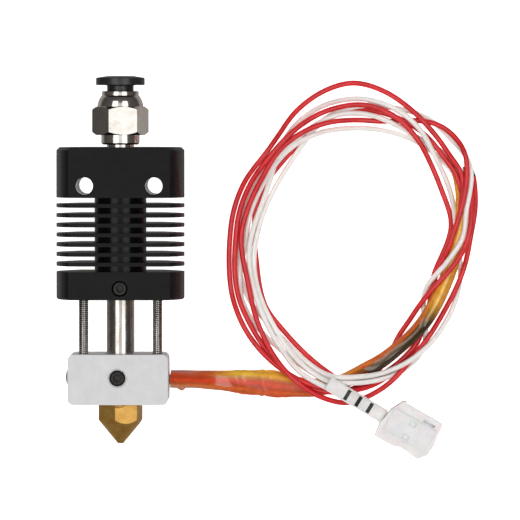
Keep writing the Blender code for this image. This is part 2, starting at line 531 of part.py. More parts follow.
def settle(strands):
    """Heights at which the strands rest on the ground and on each other in their layers.

    A strand's rows are x, y, layer, half width and half height. The layers only say who passes
    over whom: the strands are pushed apart from their layers, then let down until they touch.
    """
    rows = np.vstack(strands)
    plan, layer, wide, high = rows[:, :2], rows[:, 2], rows[:, 3], rows[:, 4]
    owner = np.concatenate([np.full(len(s), k) for k, s in enumerate(strands)])
    order = np.arange(len(rows))
    same = owner[1:] == owner[:-1]
    apart = np.hypot(plan[:, None, 0] - plan[None, :, 0], plan[:, None, 1] - plan[None, :, 1])
    reach = wide[:, None] + wide[None, :] + LAY_GAP
    own = (owner[:, None] == owner[None, :]) & (abs(order[:, None] - order[None, :]) < 6)
    own |= end_to_end(strands)
    first, second = np.nonzero(np.triu((apart < reach) & ~own))
    rise = np.sqrt(1 - (apart[first, second] / reach[first, second]) ** 2)
    rise *= high[first] + high[second] + LAY_GAP
    runs = contact_runs(first, second, owner)
    touching = np.bincount(np.r_[first, second], minlength=len(rows)).clip(1)

    heights = even_out(layer * LAY_LAYER, same, 8)
    for turn in range(3000):
        lift = heights[first] - heights[second]
        if turn in (0, 150, 400, 800):
            side = np.where(np.bincount(runs, weights=lift * rise)[runs] >= 0, 1, -1)
        lack = np.clip(rise - lift * side, 0, None) * side
        push = np.bincount(first, lack, len(rows)) - np.bincount(second, lack, len(rows))
        heights = even_out(heights + 0.5 * push / touching, same, 1, 0.15 if turn < 1500 else 0.04)

    upper = np.where(side > 0, first, second)
    lower = np.where(side > 0, second, first)
    rise_now = np.minimum(rise, (heights[first] - heights[second]) * side)
    drop = np.maximum(np.hypot(*(plan[1:] - plan[:-1]).T) * LAY_SLOPE,
                      np.abs(heights[1:] - heights[:-1]))
    heights = high.copy()
    for _ in range(40):
        np.maximum.at(heights, upper, heights[lower] + rise_now)
        for k in range(len(heights) - 1):
            if same[k]:
                heights[k + 1] = max(heights[k + 1], heights[k] - drop[k])
        for k in range(len(heights) - 2, -1, -1):
            if same[k]:
                heights[k] = max(heights[k], heights[k + 1] - drop[k])
    for _ in range(12):
        heights = even_out(heights, same, 1)
        np.maximum.at(heights, upper, heights[lower] + rise)
        heights = np.maximum(heights, high)
    parts = np.split(np.column_stack([plan, heights, wide, high]),
                     np.cumsum([len(s) for s in strands])[:-1])
    return parts


def trimmed(points, start, end):
    """The part of a path that is left when a length is taken off each end."""
    run = np.r_[0, np.cumsum(np.linalg.norm(np.diff(points[:, :3], axis=0), axis=1))]
    inside = points[(run > start + 0.2) & (run < run[-1] - end - 0.2)]
    ends = [[np.interp(s, run, points[:, k]) for k in range(points.shape[1])]
            for s in (start, run[-1] - end)]
    return np.vstack([ends[0], inside, ends[1]])


def tube(name, points, radius, finish):
    """A round cord along a path."""
    curve = bpy.data.curves.new(name, "CURVE")
    curve.dimensions = "3D"
    curve.bevel_depth = radius * MM
    curve.bevel_resolution = 2
    curve.use_fill_caps = True
    spline = curve.splines.new("POLY")
    spline.points.add(len(points) - 1)
    for spot, row in zip(spline.points, points):
        spot.co = (row[0] * MM, row[1] * MM, row[2] * MM, 1.0)
    return add_object(name, curve, finish)


def oval_tube(name, points, sides, finish):
    """A lofted closed tube of oval section; each row ends in its half width and half height."""
    shape = bmesh.new()
    rings = []
    for k, row in enumerate(points):
        ahead = Vector(points[min(k + 1, len(points) - 1)][:3]) - Vector(points[max(k - 1, 0)][:3])
        ahead.z = 0.0
        across = ahead.normalized().cross(Vector((0, 0, 1)))
        rings.append([shape.verts.new(Vector(row[:3]) + across * (row[3] * math.cos(a))
                                      + Vector((0, 0, row[4] * math.sin(a))))
                      for a in (2 * math.pi * s / sides for s in range(sides))])
    for ring, following in zip(rings, rings[1:]):
        for s in range(sides):
            t = (s + 1) % sides
            shape.faces.new((ring[s], ring[t], following[t], following[s]))
    shape.faces.new(rings[0])
    shape.faces.new(rings[-1])
    return add_object(name, to_mesh(name, shape), finish)


def strided(points, stride):
    """Every so many rows of a path, with its last row kept."""
    kept = points[:-1:stride]
    if len(kept) > 1 and len(points) - 1 - (len(kept) - 1) * stride < stride / 2:
        kept = kept[:-1]
    return np.vstack([kept, points[-1:]])


def make_leads(red, white, film, label, steel):
    """The film sleeve, four wires, label sleeve and ferrules as they lie beside the hotend."""
    turns = (HEATER_TURNS_A, HEATER_TURNS_B, THERMISTOR_TURNS_A, THERMISTOR_TURNS_B)
    strands = []
    for wire in turns:
        plan = smooth_route(around_loop(wire), LAY_STEP)
        strands.append(np.column_stack([plan, np.full((len(plan), 2), WIRE_R)]))
    strands.append(smooth_route(SLEEVE_ROUTE, LAY_STEP))
    strands.append(smooth_route(label_rows(), LAY_STEP))
    laid = settle(strands)
    sleeve, tag = laid[4], laid[5]
    left = len(tag) - 1 - np.arange(len(tag))
    tag[:, 2] = np.maximum(tag[:, 2], LABEL_END_Z - 0.25 * left)
    slimmer = np.array([0, 0, 0, OVAL_SLIMMER, OVAL_SLIMMER])
    oval_tube("harness_sleeve", strided(sleeve, SLEEVE_STRIDE) - slimmer, 12, film)
    oval_tube("label_sleeve", strided(trimmed(tag, 0.0, LABEL_SHORT), 2) - slimmer, 12, label)
    names = ("heater_wire_a", "heater_wire_b", "thermistor_wire_a", "thermistor_wire_b")
    for name, path in zip(names, laid):
        heater = name.startswith("heater")
        path = trimmed(path, BUTT_GAP, FERRULE_L + BUTT_GAP if heater else BUTT_GAP)
        tube(name, strided(path, TUBE_STRIDE), TUBE_R, red if heater else white)
    for letter, path in zip("ab", laid):
        back = trimmed(path, 0.0, FERRULE_L)[-1][:3]
        rod("heater_lead_ferrule_" + letter, FERRULE_R, back, path[-1][:3], 12, steel)


def make_plug(nylon, brass):
    """Two-way housing lying flat, with a contact in each of its cavities."""
    lie = Matrix.Rotation(math.radians(PLUG_HEADING), 4, "Z")
    centre = Vector((*PLUG_CENTRE, PLUG_T / 2))

    def placed(along_plug, across_plug, height):
        return centre + lie @ Vector((along_plug, across_plug, height))

    housing = plate("connector_housing", PLUG_OUTLINE,
                    Matrix.Translation((*PLUG_CENTRE, 0.0)) @ lie, 0.0, PLUG_T, nylon)
    for side, name in ((1, "a"), (-1, "b")):
        middle = side * PIN_PITCH / 2
        boolean(housing, slab("cavity_" + name, (PLUG_LENGTH - 1.6, 2.4, 2.6),
                              placed(1.3, middle, 0), cutter=True, turn=lie))
        boolean(housing, rod("wire_entry_" + name, 0.75, placed(-PLUG_LENGTH / 2 - 1, middle, 0),
                             placed(0, middle, 0), 16, cutter=True))
        slab("connector_terminal_" + name, (5.6, 1.8, 1.9), placed(0.5, middle, 0), brass,
             turn=lie)
    boolean(housing, slab("lock_slot", (2.6, 0.6, 1.4), placed(2.6, 3.2, PLUG_T / 2 + 0.2),
                          cutter=True, turn=lie))


def main():
    reset()
    black_anodised = material("black_anodised", (0.012, 0.012, 0.013), 0.38, 0.6)
    nickel = material("nickel_plate", (0.78, 0.74, 0.68), 0.12, 1.0)
    black_plastic = material("black_plastic", (0.015, 0.015, 0.017), 0.35)
    black_steel = material("black_oxide", (0.02, 0.02, 0.02), 0.45, 0.7)
    steel = material("bright_steel", (0.55, 0.52, 0.49), 0.18, 1.0)
    rubber = material("seal_rubber", (0.02, 0.02, 0.02), 0.7)
    ptfe = material("ptfe", (0.85, 0.85, 0.83), 0.4)
    brass = material("brass", (0.78, 0.5, 0.16), 0.25, 1.0)
    blasted = material("blasted_aluminium", (0.72, 0.72, 0.72), 0.5, 1.0)
    glass = material("glass_bead", (0.6, 0.35, 0.12), 0.1)
    red = material("red_insulation", (0.65, 0.02, 0.02), 0.35)
    white = material("white_insulation", (0.82, 0.81, 0.78), 0.35)
    film = material("polyimide_film", (0.75, 0.28, 0.03), 0.15)
    label = material("white_sleeve", (0.85, 0.85, 0.84), 0.45)
    nylon = material("white_nylon", (0.85, 0.85, 0.83), 0.3)

    make_heatsink(black_anodised)
    make_fitting(nickel, black_plastic, steel, rubber)
    make_filament_path(ptfe, steel, brass)
    make_block(blasted)
    make_heater_parts(black_steel, steel, glass)
    make_leads(red, white, film, label, steel)
    make_plug(nylon, brass)


main()
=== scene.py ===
"""Looks of the hotend assembly: its camera, light, cords, detailed pieces and materials.

Lengths named here are in millimetres, in the frame of the CAD: the filament runs along Y, Z
points out of the heatsink's front flat, and the parts lie on z = 0.
"""
import json
import math

import bmesh
import bpy
import numpy as np
from mathutils import Matrix, Vector


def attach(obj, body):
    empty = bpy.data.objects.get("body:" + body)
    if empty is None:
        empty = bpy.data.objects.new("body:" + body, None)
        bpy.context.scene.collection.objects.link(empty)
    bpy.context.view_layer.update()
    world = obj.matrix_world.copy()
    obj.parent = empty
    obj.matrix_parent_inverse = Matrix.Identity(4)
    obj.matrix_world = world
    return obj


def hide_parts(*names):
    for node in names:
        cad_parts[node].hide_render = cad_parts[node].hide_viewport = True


MM = 0.001
BODY = "hotend"

# Heatsink: a round bar with two flats, turned into fins
AXIS_Z = 10.0                 # height of the filament axis over the back flat
SINK_R = 13.0
SINK_FRONT = 18.0
SINK_TOP = 7.8
SINK_TOP_BLOCK = 10.2
SINK_BOTTOM_BLOCK = 5.65
SINK_BOTTOM = -23.0
SINK_CORE_R = 5.25
FIN_COUNT = 7
FIN_PITCH = 1.97
FIN_T = 0.77
FIRST_FIN = -4.0
SINK_EDGE = 0.6
MOUNT_SPACING = 14.0
MOUNT_R = 1.75
SINK_SCREW = (0.1, -20.7)

# Push-fit coupler and what it holds
NECK_R = 2.75
THREAD_R = 3.0
COLLAR_R = 3.875
COLLAR_H = 1.95
HEX_AF = 10.0
HEX_H = 5.75
HEX_TURN = 8.0
FITTING_TOP = 19.15
LINER_R = 2.0
LINER_BORE = 1.0
LINER_TOP = 18.0
LINER_BOTTOM = -38.1

HEX_FLAT_FIRST = 30.0         # a six-sided cone starts with a corner on +Z

# Heat break, spacer screws, heater block and nozzle
BREAK_R = 2.8
BREAK_THREAD_R = 2.9
BREAK_TOP = -9.0
BREAK_WAIST = -34.3
BREAK_BOTTOM = -37.9
BLOCK = (20.26, 10.15, 15.0)
BLOCK_CENTRE = (-0.43, -39.225, 7.5)
BLOCK_CORNER = 1.1
BLOCK_BORE_R = 3.1
SPACER_X = 7.5
SPACER_R = 1.0
SPACER_TOP = -18.4
SPACER_BOTTOM = -37.8
SHANK_R = 2.95
SHANK_TOP = -38.4
NOZZLE_AF = 8.0
NOZZLE_TURN = 17.7
NOZZLE_TIP_R = 0.6
NOZZLE_SLOPE = 1.22           # rise of the cone for each unit of radius
NOZZLE_OUT = 8.0
CARTRIDGE_R = 3.0
CARTRIDGE_Z = 3.55
CARTRIDGE_OUT = 0.9           # its domed end stands proud of the block
THERMISTOR_Y = -39.4
THERMISTOR_Z = 8.0
THERMISTOR_R = 0.9
GRUB_R = 1.5
BLOCK_SCREW = (-0.51, -38.9)
CLAMP_SCREW_X = -6.0

# Leads: the wires lie on z = 0 and on each other
WIRE_R = 0.54
LAY_GAP = 0.16
LAY_STEP = 1.0
LAY_SLOPE = 0.4
LAY_LAYER = 1.2
LAY_OWN = 6                   # rows this near on one strand never count as touching
LAY_PUSHES = 3000             # turns of pushing the strands apart
LAY_SIDES = (0, 150, 400, 800)  # turns at which each contact's upper strand is chosen afresh
LAY_CALM = 1500               # from this turn on the strands are smoothed less
LAY_DROPS = 40                # rounds of laying each strand on those below it
LAY_SMOOTHS = 12              # rounds of smoothing what that leaves
FERRULE_L = 4.0

# Two-pin plug on the thermistor lead
PLUG_LENGTH = 9.4
PLUG_T = 5.8
PLUG_CENTRE = (58.9, -50.15)
PLUG_HEADING = -30.0
PLUG_STEP = 0.45              # the housing's rim is this much lower than its middle
PIN_PITCH = 3.4
LABEL_END_Z = 2.9             # the label sleeve meets the plug at the middle of its height

# Camera: where it is, what it looks at and its focal length on a 36 mm wide sensor
CAMERA_EYE = (37.1, 14.3, AXIS_Z + 1000.0)
CAMERA_AIM = (28.3, -15.1, AXIS_Z)
CAMERA_LENS = 341.5

# Outline of the plug's housing about its centre: along it from the leads' end, and across it
PLUG_OUTLINE = [
    (-5.7, -4.5), (-6.2, -1.9), (-5.5, 1.9), (-4.2, 4.5), (-3.6, 4.8), (-3, 4.4), (5.1, 4.4),
    (5.7, -0.2), (5.5, -2.5), (4.1, -4.3), (1.8, -4), (-0.2, -3.9), (-1.6, -4.4)]

# The leads' loose turns, seen from above. Each row is the angle anticlockwise from +Y about
# the loop's centre, which grows along the wire, the distance from the centre, and the layer that
# the wire passes in; a higher layer crosses over a lower one. The first row is the film's end.
LOOP_CENTRE = (47.2, -11.6)
HEATER_TURNS_A = [
    (-56.7, 26.4, 4), (-48, 26.5, 4), (-42, 27.1, 4), (-34, 28, 6), (-24, 29.5, 7),
    (-12, 31.4, 6), (0, 32.5, 6), (12, 31.2, 6), (24, 29, 6), (34, 26.7, 6), (44, 25.4, 6),
    (60, 25.3, 5), (75, 25.2, 5), (90, 25.2, 5), (105, 26.1, 5), (117, 27.3, 4), (130, 28.5, 4),
    (144, 29.5, 4), (158, 30.2, 4), (170, 30.4, 3.5), (182, 30.2, 3.5), (192, 29, 3),
    (204, 26.7, 2), (214, 24.2, 1), (224, 21.8, 1), (235, 19.5, 1), (247, 17.9, 1),
    (259, 18.3, 1), (272, 19.7, 2), (283, 20.7, 3), (300, 21, 5), (314, 22.4, 6), (328, 24.8, 6),
    (342, 27.1, 6), (356, 28.1, 6), (370, 27.4, 5), (382, 26.3, 5), (394, 25.1, 5), (407, 24.2, 4),
    (420, 24.1, 4), (435, 24, 4), (450, 24, 4), (464, 24.9, 4), (476, 26, 3), (488, 26.9, 3),
    (500, 28.2, 3), (512, 29.8, 3), (524, 31, 2), (535, 30.8, 1), (545, 29, 0.5), (553, 26.3, 1),
    (560, 23.6, 2), (566, 21.4, 2), (574, 20.1, 5), (586, 18.8, 6), (600, 18.9, 6), (612, 20.3, 6),
    (622, 22, 6), (630, 23.2, 6), (640, 24.5, 5), (650, 25.7, 4), (658, 26.7, 3), (664, 27.5, 2)]
HEATER_TURNS_B = [
    (-55.8, 25.3, 4), (-48, 25.3, 4), (-40, 25.9, 3), (-32, 26.5, 2), (-22, 26.9, 2),
    (-10, 27.1, 2), (2, 27, 2), (12, 25.7, 1), (22, 23.8, 1), (34, 22.3, 1), (46, 21.6, 3),
    (60, 21.4, 3), (74, 20.8, 2), (90, 20.1, 1), (104, 20.2, 2), (116, 21.2, 2), (128, 22.4, 2),
    (142, 23.1, 2), (154, 24.5, 2), (165, 26.4, 2), (176, 28.6, 2), (186, 28.6, 2),
    (197, 27.1, 1.5), (209, 25.1, 1), (221, 22.6, 1), (233, 20.1, 1), (244, 18.5, 1),
    (255, 18.2, 2), (264, 19.3, 6), (274, 20.4, 7), (284, 22.3, 7), (293, 24.7, 7), (301, 27.1, 7),
    (309, 29.3, 7), (317, 29.9, 6), (324, 29.6, 3), (331, 28.3, 1), (339, 26.5, 1), (347, 25.2, 1),
    (358, 24.9, 4), (372, 24.9, 4), (386, 24.6, 4), (400, 23.9, 4), (414, 22.7, 4), (430, 22.5, 4),
    (446, 22.9, 5), (460, 22.7, 8), (473, 23.1, 8), (485, 24.7, 8), (496, 26.5, 8), (506, 28.5, 8),
    (516, 30.4, 8), (527, 32.2, 7), (538, 33.1, 6), (548, 31.4, 5), (557, 29.2, 4), (567, 26.7, 4),
    (578, 24.9, 4), (591, 23.6, 5), (606, 23.2, 5), (620, 23.5, 5), (632, 24.1, 5), (644, 25.8, 5),
    (653, 27.2, 4), (661, 28.4, 3), (666, 28.8, 2)]
THERMISTOR_TURNS_A = [
    (-56.6, 26.4, 2.5), (-48, 26, 3), (-40, 25.6, 3), (-31, 25, 3), (-20, 25.5, 4), (-8, 26.2, 4),
    (4, 26.3, 4), (14, 25.5, 3), (25, 24.4, 2.5), (38, 23.6, 3), (52, 23.3, 3), (66, 23.3, 3),
    (80, 23.2, 2), (94, 23.4, 2), (106, 24, 2), (120, 24.4, 2), (134, 24.1, 3), (147, 24.8, 3),
    (158, 26.2, 4), (169, 27.7, 5), (180, 27.5, 5), (192, 27.5, 5), (204, 27, 5), (216, 26.2, 5),
    (228, 25.2, 5), (239, 24.4, 4), (250, 23.4, 2), (261, 22.2, 2), (271, 21.4, 2), (281, 21.4, 3),
    (291, 22, 4), (303, 22.9, 4), (316, 24.2, 5), (329, 26.7, 5), (342, 28.5, 5), (356, 29.3, 5),
    (370, 28.7, 4), (382, 27.3, 3), (392, 25.5, 1), (403, 23, 0.5), (414, 21, 1), (426, 20.1, 3),
    (440, 20.4, 4), (454, 21.3, 5), (468, 22, 5), (482, 23, 5), (495, 24.5, 6), (506, 26.3, 6),
    (516, 28.4, 6), (524, 29.5, 7), (529, 29.8, 8)]
THERMISTOR_TURNS_B = [
    (-55.9, 25.1, 2), (-48, 24.7, 2), (-38, 24.5, 2), (-26, 24, 2), (-13, 23.5, 2), (0, 23.2, 2),
    (16, 23.3, 3), (32, 23.1, 3), (46, 22.4, 2), (60, 21.8, 1), (75, 21.8, 1), (89, 21.9, 1),
    (100, 23, 2), (110, 24.7, 3), (120, 25.8, 3), (132, 26.3, 2), (146, 26.6, 2), (158, 27.5, 3),
    (169, 28.7, 4), (180, 28.7, 5), (192, 28.7, 5), (203, 28.1, 5), (211, 26.9, 3),
    (217, 24.9, 1.5), (222, 22, 1), (227, 19.7, 1), (233, 18.1, 1), (240, 17.6, 1.5),
    (248, 18.2, 3.5), (256, 19.4, 5), (263, 20.5, 5), (271, 22.3, 5), (278, 23.1, 3), (286, 24, 3),
    (294, 26.1, 5), (300, 27.9, 5), (307, 29, 5), (316, 29, 5), (325, 29.5, 5), (333, 29.4, 4),
    (343, 28.6, 2), (354, 28.1, 2), (366, 26.9, 2), (377, 24.9, 2), (388, 22.2, 3), (400, 20.4, 3),
    (414, 19.4, 4), (430, 19.2, 4), (446, 19.6, 4), (460, 20.6, 4), (474, 21.6, 4), (488, 22.7, 4),
    (501, 24.2, 5), (512, 26.2, 5), (521, 27.7, 6), (527, 28.6, 7), (529.7, 28.7, 8)]
# The film sleeve round all four leads: x, y, layer, half width and half height
SLEEVE_ROUTE = [
    (10, -39.5, 1, 1.85, 4.4), (14.9, -39.7, 1, 1.9, 3.0), (20, -40, 1, 2.1, 1.7),
    (25.2, -40.3, 1, 2.6, 1.4), (30.3, -40.7, 1, 2.8, 1.3), (34.8, -41.2, 1, 2.3, 1.3),
    (39.4, -41.5, 1, 1.9, 1.4), (43.9, -40.6, 2, 1.6, 1.4), (48.2, -38.5, 3, 1.5, 1.4),
    (52.5, -36.3, 3, 1.5, 1.4), (56.2, -33.5, 3, 1.4, 1.4), (59.3, -30.7, 3, 1.4, 1.4),
    (62.2, -27.2, 3, 1.5, 1.4), (64.6, -23.1, 3, 1.5, 1.4), (66.7, -18.2, 3, 1.5, 1.4),
    (68.3, -12.8, 3, 1.5, 1.4), (69.4, -7.7, 3, 1.5, 1.4), (69.6, -2.8, 3, 1.4, 1.4),
    (69.3, 0.2, 3, 1.4, 1.4), (68.7, 2.7, 3, 1.35, 1.35)]
# The label sleeve is straight: x and y of its two ends, its layer, half width and half height
LABEL_ENDS = ((42.1, -40.2), (53.9, -47.5))
LABEL_SHAPE = (9, 1.5, 0.9)
LABEL_ROWS = 5
LABEL_SIDES = 40
LABEL_WIRE_OUT = 0.62         # a wire's distance from the label sleeve's middle line
LABEL_DROP = 0.25             # it may lie this much lower for each row before its end

# The film, by millimetres of its length from the block
FILM_SIDES = 56
FILM_GAP = 0.3                # least gap over or under a wire inside it
FILM_SHRINK = 0.97            # its share of the full size next to the block
FILM_GROW_FROM = 28           # it grows to the full size over this stretch
FILM_GROW_OVER = 8
FILM_CALM_FROM = 36           # from here on the folds are shallow
FILM_CRUMPLE_AT = 19
FILM_CRUMPLE_OVER = 6
SWAP_FROM = 9                 # the red and the white pairs change layers
SWAP_OVER = 16
SWAP_WIDEST = 17
SWAP_WIDTH = 6.5
MERGE_OVER = 9                # the wires drift to their own routes before the film's far end
FINE_STEP = 0.4               # spacing of the rings of the film and of the label sleeve


def around_loop(turns):
    """Rows of x, y and layer, from rows of angle, radius and layer about the loop's centre."""
    rows = []
    for angle, radius, layer in turns:
        a = math.radians(angle)
        rows.append((LOOP_CENTRE[0] - radius * math.sin(a), LOOP_CENTRE[1] + radius * math.cos(a),
                     layer))
    return rows


def label_rows():
    """Evenly spaced rows along the straight label sleeve."""
    (x, y), (end_x, end_y) = LABEL_ENDS
    shares = [k / (LABEL_ROWS - 1) for k in range(LABEL_ROWS)]
    return [(x + t * (end_x - x), y + t * (end_y - y), *LABEL_SHAPE) for t in shares]


def smooth_route(rows, step):
    """Catmull-Rom curve through the rows, sampled about every step as seen from above."""
    rows = np.array(rows, float)
    rows = np.vstack([2 * rows[0] - rows[1], rows, 2 * rows[-1] - rows[-2]])
    points = []
    for before, here, there, after in zip(rows, rows[1:], rows[2:], rows[3:]):
        count = max(1, round(math.dist(here[:2], there[:2]) / step))
        for t in (k / count for k in range(count)):
            points.append(0.5 * (2 * here + (there - before) * t
                                 + (2 * before - 5 * here + 4 * there - after) * t * t
                                 + (3 * here - before - 3 * there + after) * t ** 3))
    points.append(rows[-2])
    return np.array(points)


def contact_runs(first, second, owner):
    """Number each unbroken stretch over which two strands touch as seen from above."""
    place = {pair: k for k, pair in enumerate(zip(first.tolist(), second.tolist()))}
    label = np.full(len(first), -1)
    count = 0
    for start in range(len(first)):
        if label[start] >= 0:
            continue
        label[start] = count
        todo = [start]
        while todo:
            i, j = int(first[todo[-1]]), int(second[todo.pop()])
            for di in range(-2, 3):
                for dj in range(-2, 3):
                    near = place.get((i + di, j + dj))
                    if (near is not None and label[near] < 0 and owner[i + di] == owner[i]
                            and owner[j + dj] == owner[j]):
                        label[near] = count
                        todo.append(near)
        count += 1
    return label


def even_out(heights, same, times, share=0.5):
    """Average each height with its neighbours on the same strand."""
    for _ in range(times):
        left = np.r_[heights[0], np.where(same, heights[:-1], heights[1:])]
        right = np.r_[np.where(same, heights[1:], heights[:-1]), heights[-1]]
        heights = (1 - share) * heights + share * 0.5 * (left + right)
    return heights


def end_to_end(strands):
    """Which rows meet another strand's end face to face: wires and sleeve, wires and label."""
    starts = np.r_[0, np.cumsum([len(s) for s in strands])]
    meets = np.zeros((starts[-1], starts[-1]), bool)
    for wire in range(4):
        meets[starts[wire]:starts[wire] + 4, starts[5] - 4:starts[5]] = True
        if wire > 1:
            meets[starts[wire + 1] - 5:starts[wire + 1], starts[5]:starts[5] + 4] = True
    return meets | meets.T


def settle(strands):
    """Heights at which the strands rest on the ground and on each other in their layers.

    A strand's rows are x, y, layer, half width and half height. The layers only say who passes
    over whom: the strands are pushed apart from their layers, then let down until they touch.
    """
    rows = np.vstack(strands)
    plan, layer, wide, high = rows[:, :2], rows[:, 2], rows[:, 3], rows[:, 4]
    owner = np.concatenate([np.full(len(s), k) for k, s in enumerate(strands)])
    order = np.arange(len(rows))
    same = owner[1:] == owner[:-1]
    apart = np.hypot(plan[:, None, 0] - plan[None, :, 0], plan[:, None, 1] - plan[None, :, 1])
    reach = wide[:, None] + wide[None, :] + LAY_GAP
    own = (owner[:, None] == owner[None, :]) & (abs(order[:, None] - order[None, :]) < LAY_OWN)
    own |= end_to_end(strands)
    first, second = np.nonzero(np.triu((apart < reach) & ~own))
    rise = np.sqrt(1 - (apart[first, second] / reach[first, second]) ** 2)
    rise *= high[first] + high[second] + LAY_GAP
    runs = contact_runs(first, second, owner)
    touching = np.bincount(np.r_[first, second], minlength=len(rows)).clip(1)

    heights = even_out(layer * LAY_LAYER, same, 8)
    for turn in range(LAY_PUSHES):
        lift = heights[first] - heights[second]
        if turn in LAY_SIDES:
            side = np.where(np.bincount(runs, weights=lift * rise)[runs] >= 0, 1, -1)
        lack = np.clip(rise - lift * side, 0, None) * side
        push = np.bincount(first, lack, len(rows)) - np.bincount(second, lack, len(rows))
        share = 0.15 if turn < LAY_CALM else 0.04
        heights = even_out(heights + 0.5 * push / touching, same, 1, share)

    upper = np.where(side > 0, first, second)
    lower = np.where(side > 0, second, first)
    rise_now = np.minimum(rise, (heights[first] - heights[second]) * side)
    drop = np.maximum(np.hypot(*(plan[1:] - plan[:-1]).T) * LAY_SLOPE,
                      np.abs(heights[1:] - heights[:-1]))
    heights = high.copy()
    for _ in range(LAY_DROPS):
        np.maximum.at(heights, upper, heights[lower] + rise_now)
        for k in range(len(heights) - 1):
            if same[k]:
                heights[k + 1] = max(heights[k + 1], heights[k] - drop[k])
        for k in range(len(heights) - 2, -1, -1):
            if same[k]:
                heights[k] = max(heights[k], heights[k + 1] - drop[k])
    for _ in range(LAY_SMOOTHS):
        heights = even_out(heights, same, 1)
        np.maximum.at(heights, upper, heights[lower] + rise)
        heights = np.maximum(heights, high)
    return np.split(np.column_stack([plan, heights, wide, high]),
                    np.cumsum([len(s) for s in strands])[:-1])


def trimmed(points, start, end):
    """The part of a path that is left when a length is taken off each end."""
    run = np.r_[0, np.cumsum(np.linalg.norm(np.diff(points[:, :3], axis=0), axis=1))]
    inside = points[(run > start + 0.2) & (run < run[-1] - end - 0.2)]
    ends = [[np.interp(s, run, points[:, k]) for k in range(points.shape[1])]
            for s in (start, run[-1] - end)]
    return np.vstack([ends[0], inside, ends[1]])


# ---- Materials -------------------------------------------------------------------------------


class Surface:
    """A Principled material that is built up node by node in object space."""

    def __init__(self, name, colour, roughness, metallic=0.0, **sockets):
        self.made = bpy.data.materials.new(name)
        self.made.use_nodes = True
        self.tree = self.made.node_tree
        self.shader = self.tree.nodes["Principled BSDF"]
        self.shader.inputs["Base Color"].default_value = (*colour, 1.0)
        self.shader.inputs["Roughness"].default_value = roughness
        self.shader.inputs["Metallic"].default_value = metallic
        for label, value in sockets.items():
            self.shader.inputs[label.replace("_", " ")].default_value = value
        self.where = self.tree.nodes.new("ShaderNodeTexCoord").outputs["Object"]
        self.normal = None

    def node(self, kind, **values):
        made = self.tree.nodes.new(kind)
        for label, value in values.items():
            made.inputs[label].default_value = value
        return made

    def stretched(self, scale):
        """Object coordinates scaled per axis, which draws noise out into streaks."""
        mapping = self.node("ShaderNodeMapping", Scale=scale)
        self.tree.links.new(self.where, mapping.inputs["Vector"])
        return mapping.outputs["Vector"]

    def noise(self, size, detail=4.0, stretch=(1, 1, 1), distortion=0.0):
        """Noise whose features are about this many millimetres across."""
        made = self.node("ShaderNodeTexNoise", Scale=1000.0 / size, Detail=detail,
                         Roughness=0.6, Distortion=distortion)
        self.tree.links.new(self.stretched(stretch), made.inputs["Vector"])
        return made.outputs["Fac"]

    def ramp(self, value, stops):
        """Colours at places along a value."""
        made = self.tree.nodes.new("ShaderNodeValToRGB")
        steps = made.color_ramp.elements
        while len(steps) < len(stops):
            steps.new(0.5)
        for step, (place, colour) in zip(steps, stops):
            step.position = place
            step.color = (*colour, 1.0)
        self.tree.links.new(value, made.inputs["Fac"])
        return made.outputs["Color"]

    def range(self, value, low, high, start=0.3, end=0.7):
        made = self.node("ShaderNodeMapRange", **{"From Min": start, "From Max": end,
                                                  "To Min": low, "To Max": high})
        self.tree.links.new(value, made.inputs["Value"])
        return made.outputs["Result"]

    def colour(self, socket):
        self.tree.links.new(socket, self.shader.inputs["Base Color"])
        return self

    def rough(self, value, low, high):
        self.tree.links.new(self.range(value, low, high), self.shader.inputs["Roughness"])
        return self

    def tones(self, noise, *stops):
        """Colour that wanders between the stops with a noise, given by its arguments."""
        return self.colour(self.ramp(self.noise(*noise), stops))

    def worn(self, noise, low, high, relief, height, strength):
        """Uneven roughness, and relief of a noise, each noise given by its arguments."""
        self.rough(self.noise(*noise), low, high)
        return self.bump(self.noise(*relief), height, strength)

    def bump(self, value, height, strength=1.0):
        """Relief of about this height in millimetres, on top of any before it."""
        made = self.node("ShaderNodeBump", Strength=strength, Distance=height * MM)
        self.tree.links.new(value, made.inputs["Height"])
        if self.normal:
            self.tree.links.new(self.normal, made.inputs["Normal"])
        self.normal = made.outputs["Normal"]
        self.tree.links.new(self.normal, self.shader.inputs["Normal"])
        return self


